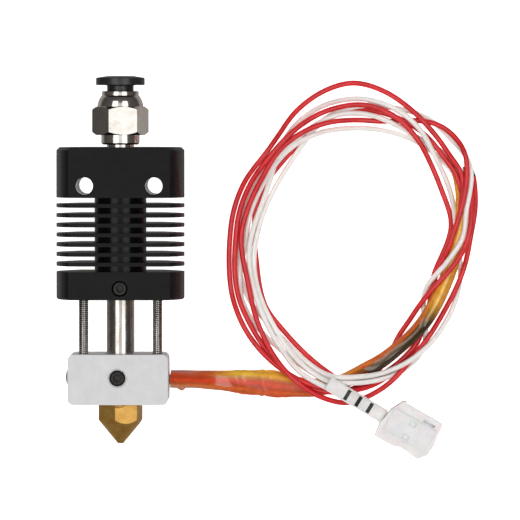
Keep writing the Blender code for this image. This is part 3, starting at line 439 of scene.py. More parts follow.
def make_materials():
    """A surface for each slot of the record, and a few for other finishes within a slot."""
    found = {}

    def surface(name, *values, **sockets):
        made = Surface(name, *values, **sockets)
        found[name] = made.made
        return made

    s = surface("black_anodised", (0.004, 0.004, 0.0045), 0.2, 0.0, Specular_IOR_Level=0.17)
    fine = s.noise(0.12, 3.0)
    s.tones((3.0, 5.0), (0.3, (0.003, 0.003, 0.0034)), (0.7, (0.006, 0.006, 0.0068)))
    s.rough(s.noise(1.5, 4.0, (0.3, 4, 1)), 0.15, 0.24).bump(fine, 0.004, 0.4)
    s.bump(s.noise(0.25, 2.0, (0.05, 3, 1)), 0.004, 0.5)

    s = surface("nickel_plate", (0.74, 0.70, 0.65), 0.12, 1.0)
    s.tones((2.0, 4.0), (0.3, (0.66, 0.62, 0.57)), (0.7, (0.80, 0.76, 0.71)))
    s.worn((0.8, 5.0, (1, 6, 1)), 0.07, 0.2, (0.3, 2.0, (0.1, 8, 0.1)), 0.004, 0.4)

    s = surface("black_plastic", (0.012, 0.012, 0.014), 0.32, Specular_IOR_Level=0.5)
    s.tones((1.5,), (0.3, (0.009, 0.009, 0.010)), (0.7, (0.020, 0.020, 0.023)))
    s.worn((0.6, 4.0), 0.26, 0.4, (0.15, 3.0), 0.004, 0.5)

    s = surface("black_oxide", (0.018, 0.018, 0.018), 0.4, 0.7)
    s.tones((0.5,), (0.3, (0.010, 0.010, 0.010)), (0.75, (0.045, 0.043, 0.040)))
    s.worn((0.3,), 0.3, 0.5, (0.1,), 0.004, 0.5)

    s = surface("bright_steel", (0.50, 0.47, 0.44), 0.2, 1.0)
    s.tones((1.2, 4.0, (1, 0.3, 1)), (0.3, (0.38, 0.35, 0.32)), (0.7, (0.58, 0.55, 0.52)))
    s.worn((0.9, 3.0, (1, 0.5, 1)), 0.14, 0.22, (0.4, 2.0, (0.1, 5, 0.1)), 0.002, 0.4)

    s = surface("seal_rubber", (0.015, 0.015, 0.015), 0.7)
    s.worn((0.4,), 0.6, 0.8, (0.1,), 0.006, 0.6)
    s.tones((0.5,), (0.3, (0.012, 0.012, 0.012)), (0.7, (0.024, 0.024, 0.024)))

    s = surface("ptfe", (0.82, 0.82, 0.79), 0.4, Subsurface_Weight=0.2, Subsurface_Scale=0.002)
    s.tones((1.0,), (0.3, (0.78, 0.78, 0.74)), (0.7, (0.87, 0.87, 0.85)))
    s.worn((0.5,), 0.34, 0.5, (0.2,), 0.004, 0.4)

    s = surface("brass", (0.62, 0.38, 0.10), 0.36, 0.7)
    s.tones((1.6, 5.0), (0.28, (0.42, 0.21, 0.04)), (0.6, (0.55, 0.31, 0.07)),
            (0.8, (0.64, 0.40, 0.12)))
    s.worn((0.6, 4.0), 0.30, 0.44, (0.25, 2.0, (0.1, 8, 0.1)), 0.005, 0.6)

    s = surface("blasted_aluminium", (0.62, 0.62, 0.63), 0.5, 0.25)
    s.tones((2.5, 6.0), (0.25, (0.60, 0.60, 0.61)), (0.6, (0.66, 0.66, 0.665)),
            (0.85, (0.72, 0.72, 0.72)))
    s.worn((0.5, 4.0), 0.42, 0.6, (0.22, 5.0), 0.02, 0.6)
    s.bump(s.noise(1.8, 3.0, (0.4, 2.5, 1)), 0.02, 0.4)

    # Bored metal made near-white with little metallic: the machined finish and, in part, a painted
    # highlight
    s = surface("bored_aluminium_painted_highlight", (0.90, 0.90, 0.90), 0.32, 0.3)
    s.tones((0.8,), (0.3, (0.84, 0.84, 0.84)), (0.7, (0.95, 0.95, 0.95)))
    s.worn((0.5, 4.0, (1, 1, 6)), 0.25, 0.45, (0.2, 2.0, (1, 1, 8)), 0.006, 0.5)

    s = surface("glass_bead", (0.55, 0.28, 0.08), 0.08)
    s.worn((0.4,), 0.05, 0.15, (0.5,), 0.01, 0.4)
    s.tones((0.8,), (0.3, (0.45, 0.20, 0.05)), (0.7, (0.62, 0.34, 0.10)))

    for name, dark, bright in (("red_insulation", (0.54, 0.007, 0.011), (0.72, 0.016, 0.022)),
                               ("white_insulation", (0.82, 0.79, 0.76), (0.92, 0.90, 0.87))):
        s = surface(name, bright, 0.36, Coat_Weight=0.15, Coat_Roughness=0.25,
                    Subsurface_Weight=0.06, Subsurface_Scale=0.0006)
        s.tones((4.0, 5.0), (0.3, dark), (0.65, bright))
        s.worn((0.9, 4.0), 0.3, 0.46, (0.35, 3.0), 0.012, 0.5)

    s = surface("polyimide_film", (0.85, 0.30, 0.03), 0.12, Coat_Weight=0.6, Coat_Roughness=0.06,
                Alpha=0.93)
    # The vertex tint, partly a painted reflection of the dark room, multiplied by a noise of
    # blotches
    tint = s.tree.nodes.new("ShaderNodeAttribute")
    tint.attribute_name = "film_tint_and_painted_reflection"
    blotch = s.ramp(s.noise(1.6, 5.0, distortion=0.8),
                    [(0.3, (0.80, 0.76, 0.70)), (0.55, (1.0, 1.0, 1.0)), (0.75, (1.15, 1.12, 1.0))])
    mix = s.tree.nodes.new("ShaderNodeMix")
    mix.data_type = "RGBA"
    mix.blend_type = "MULTIPLY"
    mix.inputs["Factor"].default_value = 1.0
    s.tree.links.new(tint.outputs["Color"], mix.inputs[6])
    s.tree.links.new(blotch, mix.inputs[7])
    s.colour(mix.outputs[2])
    s.rough(s.noise(0.8, 4.0), 0.07, 0.16)
    s.bump(s.noise(2.2, 3.0, (1, 1, 1), 0.8), 0.10, 0.6)
    s.bump(s.noise(0.7, 2.0, (1, 1, 1), 2.0), 0.02, 0.5)

    s = surface("film_edge", (0.70, 0.20, 0.02), 0.12, Coat_Weight=0.5, Coat_Roughness=0.06,
                Alpha=0.9)
    s.tones((0.9,), (0.3, (0.60, 0.14, 0.02)), (0.7, (0.80, 0.34, 0.04)))
    s.worn((0.5,), 0.08, 0.2, (0.6,), 0.02, 0.5)

    s = surface("clear_film", (0.75, 0.72, 0.74), 0.1, Alpha=0.4)
    s.tones((0.9,), (0.3, (0.60, 0.56, 0.60)), (0.7, (0.85, 0.82, 0.84)))
    s.worn((0.5,), 0.06, 0.16, (0.6,), 0.02, 0.5)

    s = surface("label_sleeve", (0.84, 0.83, 0.81), 0.45, Subsurface_Weight=0.1,
                Subsurface_Scale=0.001)
    s.tones((1.5, 5.0), (0.3, (0.76, 0.75, 0.72)), (0.7, (0.88, 0.87, 0.86)))
    s.worn((0.5,), 0.38, 0.55, (0.8, 4.0), 0.03, 0.5)

    s = surface("label_ink", (0.01, 0.01, 0.01), 0.4)
    s.worn((0.3,), 0.35, 0.5, (0.2,), 0.004, 0.4)
    s.tones((0.4,), (0.3, (0.006, 0.006, 0.006)), (0.7, (0.02, 0.02, 0.02)))

    s = surface("white_nylon", (0.84, 0.83, 0.82), 0.3, Subsurface_Weight=0.35,
                Subsurface_Scale=0.0025, Coat_Weight=0.1)
    s.tones((2.2, 5.0), (0.3, (0.78, 0.77, 0.76)), (0.7, (0.88, 0.87, 0.87)))
    s.worn((0.8,), 0.24, 0.42, (0.5, 4.0), 0.012, 0.5)
    return found


# ---- Mesh helpers ----------------------------------------------------------------------------


def place_mesh(name, shape):
    """Turn a bmesh in millimetres into an object in metres."""
    bmesh.ops.recalc_face_normals(shape, faces=shape.faces)
    bmesh.ops.scale(shape, vec=(MM, MM, MM), verts=shape.verts)
    mesh = bpy.data.meshes.new(name)
    shape.to_mesh(mesh)
    shape.free()
    item = bpy.data.objects.new(name, mesh)
    bpy.context.scene.collection.objects.link(item)
    return item


def along(direction):
    """Rotation that carries +Z onto a direction."""
    return Vector((0, 0, 1)).rotation_difference(Vector(direction)).to_matrix().to_4x4()


def lathe(name, profile, sides=96, hollow=False, place=None):
    """A turned shape about the filament axis from (radius, y) points, top to bottom outside."""
    place = place or Matrix.Translation((0, 0, AXIS_Z)) @ Matrix.Rotation(-math.pi / 2, 4, "X")
    shape = bmesh.new()
    rings = []
    for radius, height in profile:
        if radius < 1e-6:
            rings.append([shape.verts.new(place @ Vector((0, 0, height)))])
            continue
        rings.append([shape.verts.new(place @ Vector((radius * math.cos(a), radius * math.sin(a),
                                                      height)))
                      for a in (2 * math.pi * k / sides for k in range(sides))])
    pairs = list(zip(rings, rings[1:]))
    if hollow:
        pairs.append((rings[-1], rings[0]))
    for ring, following in pairs:
        for k in range(sides):
            j = (k + 1) % sides
            if len(ring) == 1 and len(following) > 1:
                shape.faces.new((ring[0], following[j], following[k]))
            elif len(following) == 1 and len(ring) > 1:
                shape.faces.new((ring[k], ring[j], following[0]))
            elif len(ring) > 1:
                shape.faces.new((ring[k], ring[j], following[j], following[k]))
    return place_mesh(name, shape)


def rod(name, radius, start, end, sides=40, turn=0.0, tip=None):
    """A cylinder, prism or cone between two points."""
    start, end = Vector(start), Vector(end)
    shape = bmesh.new()
    place = Matrix.Translation((start + end) / 2) @ along(end - start)
    bmesh.ops.create_cone(shape, cap_ends=True, segments=sides, radius1=radius,
                          radius2=radius if tip is None else tip, depth=(end - start).length,
                          matrix=place @ Matrix.Rotation(math.radians(turn), 4, "Z"))
    return place_mesh(name, shape)


def slab(name, size, centre, turn=None):
    """A box of a size about a centre."""
    shape = bmesh.new()
    place = Matrix.Translation(centre) @ (turn or Matrix.Identity(4))
    bmesh.ops.create_cube(shape, size=1.0, matrix=place @ Matrix.Diagonal((*size, 1.0)))
    return place_mesh(name, shape)


def join_rings(shape, pairs):
    """Faces between pairs of closed rings that have as many points as each other."""
    for ring, following in pairs:
        for k in range(len(ring)):
            j = (k + 1) % len(ring)
            shape.faces.new((ring[k], ring[j], following[j], following[k]))


def plate(name, outline, low, high):
    """A flat piece of an outline between two heights."""
    shape = bmesh.new()
    under = [shape.verts.new((x, y, low)) for x, y in outline]
    over = [shape.verts.new((x, y, high)) for x, y in outline]
    shape.faces.new(under)
    shape.faces.new(over)
    join_rings(shape, [(under, over)])
    return place_mesh(name, shape)


def carve(item, *steps):
    """Cut away each cutter, or apply a pair of an operation and a cutter; remove the cutters."""
    steps = [step if isinstance(step, tuple) else ("DIFFERENCE", step) for step in steps]
    for operation, cutter in steps:
        step = item.modifiers.new(cutter.name, "BOOLEAN")
        step.operation = operation
        step.object = cutter
        step.solver = "EXACT"
    bpy.context.view_layer.update()
    graph = bpy.context.evaluated_depsgraph_get()
    result = bpy.data.meshes.new_from_object(item.evaluated_get(graph))
    item.modifiers.clear()
    item.data = result
    for _, cutter in steps:
        bpy.data.objects.remove(cutter, do_unlink=True)
    return item


def ease(item, width, segments=2, angle=28):
    """Smooth the faces, keep the corners and ease them by a small radius."""
    item.data.shade_smooth()
    item.data.set_sharp_from_angle(angle=math.radians(angle))
    if width:
        edge = item.modifiers.new("edges", "BEVEL")
        edge.width = width * MM
        edge.segments = segments
        edge.limit_method = "ANGLE"
        edge.angle_limit = math.radians(angle)
        edge.use_clamp_overlap = True
        item.modifiers.new("normals", "WEIGHTED_NORMAL").keep_sharp = True
    return item


def settle_piece(item, slot, *nodes, body=BODY, finish=None):
    """Give a piece its finish and its body, and let it stand for CAD nodes."""
    item.data.materials.clear()
    item.data.materials.append(SURFACES[finish or slot])
    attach(item, body)
    if nodes:
        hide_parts(*nodes)
    return item


# ---- Camera, light and floor ------------------------------------------------------------------


def looking(spot, target):
    """Placing of a camera or light that faces a target, upright in the view."""
    back = (Vector(spot) - Vector(target)).normalized()
    right = Vector((0, 1, 0)).cross(back).normalized()
    turn = Matrix((right, back.cross(right), back)).transposed().to_4x4()
    return Matrix.Translation(spot) @ turn


def make_camera():
    """A long lens about a metre above the object."""
    data = bpy.data.cameras.new("camera")
    data.lens = CAMERA_LENS
    data.sensor_width = 36.0
    data.clip_end = 20.0
    camera = bpy.data.objects.new("camera", data)
    bpy.context.scene.collection.objects.link(camera)
    camera.matrix_world = looking(Vector(CAMERA_EYE) * MM, Vector(CAMERA_AIM) * MM)
    bpy.context.scene.camera = camera


def strip_light(name, spot, target, size, power):
    """A rectangular light, upright in the view, that faces a target; it is not itself seen."""
    data = bpy.data.lights.new(name, "AREA")
    data.shape = "RECTANGLE"
    data.size, data.size_y = size
    data.energy = power
    lamp = bpy.data.objects.new(name, data)
    bpy.context.scene.collection.objects.link(lamp)
    lamp.matrix_world = looking(spot, target)
    lamp.visible_camera = False


def make_light():
    """Two upright strip lights either side of the view, a dim one over it, in a dark room."""
    x, y = middle = (0.03, -0.015)
    aim = (*middle, 0.01)
    for side in (-1, 1):
        strip_light("strip_%+d" % side, (x + side * 0.45, y, 0.9), aim, (0.5, 1.6), 5.6)
    strip_light("overhead", (x, y, 1.35), aim, (0.55, 1.6), 1.6)
    world = bpy.data.worlds.new("room")
    world.use_nodes = True
    links, nodes = world.node_tree.links, world.node_tree.nodes
    facing = nodes.new("ShaderNodeTexCoord").outputs["Generated"]
    split = nodes.new("ShaderNodeSeparateXYZ")
    links.new(facing, split.inputs["Vector"])
    room = nodes.new("ShaderNodeValToRGB")
    room.color_ramp.elements[0].color = (0.16, 0.15, 0.14, 1.0)
    room.color_ramp.elements[1].color = (0.42, 0.40, 0.39, 1.0)
    room.color_ramp.elements[1].position = 1.0
    for place, shade in ((0.12, 0.44), (0.30, 0.16), (0.38, 0.06), (0.5, 0.08), (0.8, 0.10),
                         (0.95, 0.16)):
        step = room.color_ramp.elements.new(place)
        step.color = (shade, shade * 0.94, shade * 0.90, 1.0)
    height = nodes.new("ShaderNodeMapRange")
    height.inputs["From Min"].default_value = -1.0
    height.inputs["From Max"].default_value = 1.0
    links.new(split.outputs["Z"], height.inputs["Value"])
    links.new(height.outputs["Result"], room.inputs["Fac"])
    links.new(room.outputs["Color"], nodes["Background"].inputs["Color"])
    bpy.context.scene.world = world
    bpy.context.scene.view_settings.view_transform = "Standard"


def make_floor():
    """A white glowing floor just under the object: no shadow shows on it, no metal mirrors it."""
    shape = bmesh.new()
    bmesh.ops.create_grid(shape, x_segments=1, y_segments=1, size=1500.0)
    bmesh.ops.translate(shape, vec=(0, 0, -0.05), verts=shape.verts)
    floor = place_mesh("floor", shape)
    made = bpy.data.materials.new("pale_floor")
    made.use_nodes = True
    shader = made.node_tree.nodes["Principled BSDF"]
    for socket, value in (("Base Color", (0.9, 0.9, 0.9, 1.0)), ("Roughness", 0.9),
                          ("Emission Color", (1.0, 1.0, 1.0, 1.0)), ("Emission Strength", 1.0)):
        shader.inputs[socket].default_value = value
    floor.data.materials.append(made)
    floor.visible_glossy = False


# ---- Leads ------------------------------------------------------------------------------------


def cord_curve(name, points, radius):
    """A round cord along points in millimetres."""
    curve = bpy.data.curves.new(name, "CURVE")
    curve.dimensions = "3D"
    curve.bevel_depth = radius * MM
    curve.bevel_resolution = 5
    curve.use_fill_caps = True
    spline = curve.splines.new("POLY")
    spline.points.add(len(points) - 1)
    for spot, row in zip(spline.points, points):
        spot.co = (row[0] * MM, row[1] * MM, row[2] * MM, 1.0)
    item = bpy.data.objects.new(name, curve)
    bpy.context.scene.collection.objects.link(item)
    return item


def side_of(points):
    """Level unit vectors to the left of a path at each of its rows."""
    ahead = np.gradient(points[:, :2], axis=0)
    ahead /= np.linalg.norm(ahead, axis=1)[:, None]
    return np.column_stack([-ahead[:, 1], ahead[:, 0]])


def lay_leads():
    """The heights of every lead, as the CAD lays them."""
    turns = (HEATER_TURNS_A, HEATER_TURNS_B, THERMISTOR_TURNS_A, THERMISTOR_TURNS_B)
    strands = []
    for wire in turns:
        plan = smooth_route(around_loop(wire), LAY_STEP)
        strands.append(np.column_stack([plan, np.full((len(plan), 2), WIRE_R)]))
    strands.append(smooth_route(SLEEVE_ROUTE, LAY_STEP))
    strands.append(smooth_route(label_rows(), LAY_STEP))
    laid = settle(strands)
    tag = laid[5]
    left = len(tag) - 1 - np.arange(len(tag))
    tag[:, 2] = np.maximum(tag[:, 2], LABEL_END_Z - LABEL_DROP * left)
    return laid


def eased(value):
    """Smooth step of a value that is first held between 0 and 1."""
    value = np.clip(value, 0, 1)
    return value * value * (3 - 2 * value)


def inside_sleeve(sleeve, wire, side, near, far, spread):
    """Path of one wire inside the film, from the block to the wire's own start.

    near and far are its heights at either end as shares of the room there, and the spread is how
    far the wire moves outward where the two layers change places.
    """
    run = np.r_[0, np.cumsum(np.linalg.norm(np.diff(sleeve[:, :3], axis=0), axis=1))]
    height = near + (far - near) * eased((run - SWAP_FROM) / SWAP_OVER)
    across = side * (WIRE_R + spread * np.exp(-((run - SWAP_WIDEST) / SWAP_WIDTH) ** 2))
    points = sleeve[:, :3].copy()
    points[:, :2] += side_of(sleeve) * across[:, None]
    points[:, 2] += height * (sleeve[:, 4] - WIRE_R - FILM_GAP)
    last = eased(1 - (run[-1] - run) / MERGE_OVER)
    points = points + (wire[0, :3] - points[-1]) * last[:, None]
    points[:, 2] = np.maximum(points[:, 2], WIRE_R)
    return points[:-1]


def make_wires(laid):
    """The four insulated wires, from the heater block through film, coil and label."""
    sleeve, tag = laid[4], laid[5]
    plans = [("heater_wire_a", 1, -0.7, 0.95, 1.0), ("heater_wire_b", -1, -0.7, 0.95, 1.0),
             ("thermistor_wire_a", 1, 0.8, -0.95, 0.0), ("thermistor_wire_b", -1, 0.8, -0.95, 0.0)]
    wires = {}
    for (name, side, near, far, spread), wire in zip(plans, laid):
        heater = name.startswith("heater")
        lead = inside_sleeve(sleeve, wire, side, near, far, spread)
        own = wire[:, :3]
        if heater:
            own = trimmed(wire, 0.0, FERRULE_L)[:, :3]
        else:
            within = tag[3:, :3].copy()
            offset = side * LABEL_WIRE_OUT
            within[:, :2] -= side_of(tag)[3:] * offset
            own = np.vstack([own[:-1], within])
        points = even_path(np.vstack([lead, own]))
        item = cord_curve(name.replace("wire", "lead"), points, WIRE_R)
        settle_piece(item, "red_insulation" if heater else "white_insulation", name)
        wires[name] = (item, points)
    return wires


def even_path(points):
    """Round off the small kinks where one stretch of a path joins the next."""
    points = np.array(points)
    for _ in range(3):
        points[1:-1] = 0.5 * points[1:-1] + 0.25 * (points[:-2] + points[2:])
    return points


def blend_stops(stops, place):
    """Value at a place between stops, each a place and a colour."""
    for (a, first), (b, second) in zip(stops, stops[1:]):
        if place <= b:
            t = max(0.0, (place - a) / (b - a))
            return [x * (1 - t) + y * t for x, y in zip(first, second)]
    return list(stops[-1][1])


# Tints of the film along its length: at its right side, its crown and its left side
# The near-black right side and the dark crown from 42 to 59 mm are a painted reflection of the dark
# room.
FILM_RIGHT = [(0, (0.62, 0.17, 0.03)), (22, (0.70, 0.11, 0.03)), (36, (0.62, 0.16, 0.03)),
              (42, (0.045, 0.032, 0.012)), (59, (0.040, 0.032, 0.012)), (63, (0.62, 0.26, 0.04)),
              (76, (0.80, 0.33, 0.03)), (92, (0.85, 0.36, 0.03))]
FILM_CROWN = [(0, (0.74, 0.07, 0.015)), (20, (0.66, 0.05, 0.01)), (36, (0.72, 0.15, 0.02)),
              (43, (0.10, 0.055, 0.015)), (58, (0.09, 0.055, 0.015)), (63, (0.92, 0.48, 0.05)),
              (76, (0.92, 0.50, 0.05)), (92, (0.88, 0.42, 0.04))]
FILM_LEFT = [(0, (0.60, 0.06, 0.01)), (8, (0.58, 0.10, 0.02)), (14, (0.82, 0.50, 0.05)),
             (22, (0.80, 0.42, 0.04)), (36, (0.78, 0.30, 0.03)), (46, (0.66, 0.13, 0.02)),
             (58, (0.60, 0.12, 0.02)), (66, (0.86, 0.40, 0.04)), (92, (0.80, 0.34, 0.03))]


def film_colour_and_painted_reflection(run, angle):
    """Tint of the film by the distance from the block and by the side it faces, with a painted
    reflection.
    """
    right, crown, left = (blend_stops(stops, run) for stops in (FILM_RIGHT, FILM_CROWN, FILM_LEFT))
    lean = math.cos(angle)
    side = right if lean > 0 else left
    share = min(1.0, max(0.0, (abs(lean) - 0.15) / 0.4))
    streak = 1.0 + 0.16 * math.sin(9 * angle + 0.4 * math.sin(0.35 * run))
    return [min(1.0, (x * (1 - share) + y * share) * streak) for x, y in zip(crown, side)]


def make_film(sleeve):
    """The wrinkled film sleeve as a thin oval tube with gentle folds along it."""
    fine = smooth_route(sleeve, FINE_STEP)
    run = np.r_[0, np.cumsum(np.linalg.norm(np.diff(fine[:, :3], axis=0), axis=1))]
    across = -side_of(fine)
    shape = bmesh.new()
    tint = shape.verts.layers.float_color.new("film_tint_and_painted_reflection")
    rings = []
    for row, aside, s in zip(fine, across, run):
        ring = []
        crumple = math.exp(-((s - FILM_CRUMPLE_AT) / FILM_CRUMPLE_OVER) ** 2)
        full = eased((s - FILM_GROW_FROM) / FILM_GROW_OVER)
        depth = 1.0 if s < FILM_CALM_FROM else 0.4
        for k in range(FILM_SIDES):
            a = 2 * math.pi * k / FILM_SIDES
            fold = (0.022 * math.sin(0.55 * s + 3 * a) + 0.018 * math.sin(5 * a + 0.8 * s + 1.0)
                    + 0.016 * math.sin(0.9 * s - 2 * a)
                    + crumple * 0.035 * math.sin(2.1 * s + 4 * a + 2 * math.sin(1.3 * s)))
            grow = FILM_SHRINK + (1 - FILM_SHRINK) * full + fold * depth
            out = Vector((*aside, 0.0)) * (row[3] * grow * math.cos(a))
            spot = Vector(row[:3]) + out + Vector((0, 0, row[4] * grow * math.sin(a)))
            spot.z = max(spot.z, 0.02)
            made = shape.verts.new(spot)
            # Vertex tint, which holds the painted reflection on the film's right side and crown
            # from 42 to 59 mm
            made[tint] = (*film_colour_and_painted_reflection(s, a), 1.0)
            ring.append(made)
        rings.append(ring)
    join_rings(shape, zip(rings, rings[1:]))
    film = place_mesh("film_sleeve", shape)
    film.data.shade_smooth()
    return settle_piece(film, "polyimide_film", "harness_sleeve")


def make_film_tails(sleeve):
    """The loose corner of the film by the block, and the thin clear tail that hangs from it."""
    start, low = sleeve[0], sleeve[0][1] - sleeve[0][3]
    x = start[0]
    tab = plate("film_tab", [(x + 0.3, low + 0.5), (x + 3.6, low + 0.4), (x + 2.9, low - 0.35),
                             (x + 2.2, low - 0.75), (x + 1.5, low - 0.4)], 2.2, 2.32)
    settle_piece(tab, "polyimide_film", finish="film_edge")
    tail = plate("film_tail", [(x + 2.35, low - 0.5), (x + 2.62, low - 0.5), (x + 2.55, low - 2.2),
                               (x + 2.3, low - 3.9), (x + 2.12, low - 3.8), (x + 2.3, low - 2.2)],
                 1.9, 1.97)
    settle_piece(tail, "polyimide_film", finish="clear_film")
    return tab, tail


def squared(row, aside, angle, grow):
    """Point on the label sleeve's section, which is an oval with flattened sides."""
    c, s = math.cos(angle), math.sin(angle)
    flat = math.copysign(abs(c) ** 0.75, c)
    high = math.copysign(abs(s) ** 0.75, s)
    out = Vector((*aside, 0.0)) * (row[3] * flat * grow)
    return Vector(row[:3]) + out + Vector((0, 0, row[4] * high * grow))


def make_bar(name, rows, across):
    """A plain printed bar that lies on the label sleeve's crown, as a thin closed patch."""
    angles = [math.radians(48 + 7 * k) for k in range(13)]
    shape = bmesh.new()
    layers = [[[shape.verts.new(squared(row, aside, a, grow)) for a in angles]
               for row, aside in zip(rows, across)] for grow in (0.99, 1.025)]
    for grid in layers:
        for one, two in zip(grid, grid[1:]):
            for k in range(len(angles) - 1):
                shape.faces.new((one[k], one[k + 1], two[k + 1], two[k]))
    rims = [[*grid[0], *[row[-1] for row in grid[1:]], *reversed(grid[-1][:-1]),
             *[row[0] for row in reversed(grid[1:-1])]] for grid in layers]
    join_rings(shape, [rims])
    return settle_piece(place_mesh(name, shape), "label_sleeve", finish="label_ink")


def make_label(tag):
    """White sleeve, flattened where it was shrunk, with three plain printed bars."""
    fine = smooth_route(trimmed(tag, 0.0, 0.35), FINE_STEP)
    across = -side_of(fine)
    shape = bmesh.new()
    rings = []
    for row, aside in zip(fine, across):
        rings.append([shape.verts.new(squared(row, aside, 2 * math.pi * k / LABEL_SIDES, 1.0))
                      for k in range(LABEL_SIDES)])
    join_rings(shape, zip(rings, rings[1:]))
    inner = [[shape.verts.new(v.co.lerp(sum((w.co for w in ring), Vector()) / LABEL_SIDES, 0.22))
              for v in ring] for ring in (rings[0], rings[-1])]
    join_rings(shape, zip((rings[0], rings[-1]), inner))
    label = place_mesh("label_sleeve_shrunk", shape)
    label.data.shade_smooth()
    settle_piece(label, "label_sleeve", "label_sleeve")
    bars = []
    for number, share in enumerate((0.37, 0.56, 0.75)):
        middle = int(share * (len(fine) - 1))
        bars.append(make_bar("label_bar_%d" % number, fine[middle - 1:middle + 2],
                             across[middle - 1:middle + 2]))
    return label, bars


# ---- The hotend -------------------------------------------------------------------------------


def make_heatsink():
    """Turned bar with fins, two flats, countersunk holes and lightly broken edges."""
    edge = SINK_EDGE
    profile = [(0.0, SINK_TOP), (SINK_R - edge, SINK_TOP), (SINK_R, SINK_TOP - edge),
               (SINK_R, SINK_TOP - SINK_TOP_BLOCK)]
    for fin in range(FIN_COUNT):
        middle = FIRST_FIN - fin * FIN_PITCH
        above = profile[-1][1]
        top, low = middle + FIN_T / 2, middle - FIN_T / 2
        profile += [(SINK_CORE_R, above), (SINK_CORE_R, top), (SINK_R, top), (SINK_R, low)]
    shelf = SINK_BOTTOM + SINK_BOTTOM_BLOCK
    profile += [(SINK_CORE_R, profile[-1][1]), (SINK_CORE_R, shelf), (SINK_R, shelf),
                (SINK_R, SINK_BOTTOM + edge / 2), (SINK_R - edge / 2, SINK_BOTTOM),
                (0.0, SINK_BOTTOM)]
    depth = SINK_FRONT
    bore = [(0.0, SINK_TOP + 1), (THREAD_R + 0.2, SINK_TOP + 1), (THREAD_R + 0.2, 2.2),
            (LINER_R + 0.15, 2.2), (LINER_R + 0.15, BREAK_TOP + 0.3),
            (BREAK_R + 0.2, BREAK_TOP + 0.3), (BREAK_R + 0.2, SINK_BOTTOM - 1),
            (0.0, SINK_BOTTOM - 1)]
    steps = [("INTERSECT", slab("flats", (60, 60, depth), (0, 0, depth / 2))),
             lathe("bore", bore, 48)]
    for side in (-1, 1):
        x = side * MOUNT_SPACING / 2
        steps.append(rod("mount", MOUNT_R, (x, 0, -1), (x, 0, depth + 1), 48))
        steps.append(rod("sink", MOUNT_R - 0.05, (x, 0, depth - 0.2), (x, 0, depth + 0.2), 48,
                         tip=MOUNT_R + 0.35))
        x = side * SPACER_X
        steps.append(rod("spacer", SPACER_R + 0.15, (x, SPACER_TOP + 0.3, AXIS_Z),
                         (x, SINK_BOTTOM - 1, AXIS_Z), 24))
    steps.append(rod("grub", GRUB_R + 0.12, (*SINK_SCREW, AXIS_Z + 1), (*SINK_SCREW, depth + 1),
                     32))
    item = carve(lathe("heatsink_finned", profile, 160), *steps)
    item = settle_piece(ease(item, 0.24, 4), "black_anodised", "heatsink")
    # The mount-hole walls take the near-white bored finish, which is in part a painted highlight.
    item.data.materials.append(SURFACES["bored_aluminium_painted_highlight"])
    for face in item.data.polygons:
        across = abs(abs(face.center.x) / MM - MOUNT_SPACING / 2)
        if math.hypot(across, face.center.y / MM) < MOUNT_R + 0.1 and abs(face.normal.z) < 0.1:
            face.material_index = 1
    return item


def make_fitting():
    """Plated coupler with a rounded shoulder, and its moulded collet."""
    top = FITTING_TOP
    low = SINK_TOP + 0.5
    hex_low, hex_high = low + COLLAR_H, low + COLLAR_H + HEX_H
    outline = [(0.0, top), (3.5, top), (3.65, top - 0.06), (3.72, top - 0.2), (3.72, top - 0.9),
               (3.95, top - 1.15), (4.22, top - 1.55), (4.45, top - 2.1), (4.6, top - 2.7),
               (4.68, hex_high), (4.68, hex_high - 1), (COLLAR_R, hex_low + 1),
               (COLLAR_R, low + 0.3), (COLLAR_R - 0.4, low), (NECK_R, low), (NECK_R, SINK_TOP),
               (THREAD_R, SINK_TOP - 0.4), (THREAD_R, 2.9), (THREAD_R - 0.4, 2.5), (0.0, 2.5)]
    chamfer = [(0.0, hex_high + 4), (4.8, hex_high + 4), (4.95, hex_high), (5.9, hex_high - 0.7),
               (5.9, hex_low + 0.7), (4.95, hex_low), (4.8, 2.0), (0.0, 2.0)]
    cavity = [(0.0, top + 1), (2.9, top + 1), (2.9, 14.9), (3.2, 14.9), (3.2, 11.6),
              (LINER_R + 0.15, 11.6), (LINER_R + 0.15, 1.5), (0.0, 1.5)]
    prism = rod("hexagon", HEX_AF / math.sqrt(3), (0, hex_low, AXIS_Z), (0, hex_high, AXIS_Z), 6,
                HEX_TURN + HEX_FLAT_FIRST)
    body = carve(lathe("coupler_body", outline, 120), ("UNION", prism),
                 ("INTERSECT", lathe("chamfer", chamfer, 120)), lathe("cavity", cavity, 80))
    settle_piece(ease(body, 0.07), "nickel_plate", "fitting_body")
    flange = top + 1.2
    profile = [(2.75, flange + 1.85), (4.78, flange + 1.52), (4.92, flange + 1.42),
               (4.95, flange + 1.3), (4.95, flange + 0.12), (4.85, flange), (2.9, flange),
               (2.7, flange - 0.2), (2.7, 15.5), (LINER_R + 0.2, 15.5),
               (LINER_R + 0.2, flange + 1.6), (LINER_R + 0.45, flange + 1.85)]
    collet = lathe("collet_moulded", profile, 96, hollow=True)
    settle_piece(ease(collet, 0.05), "black_plastic", "release_collet", body="collet")


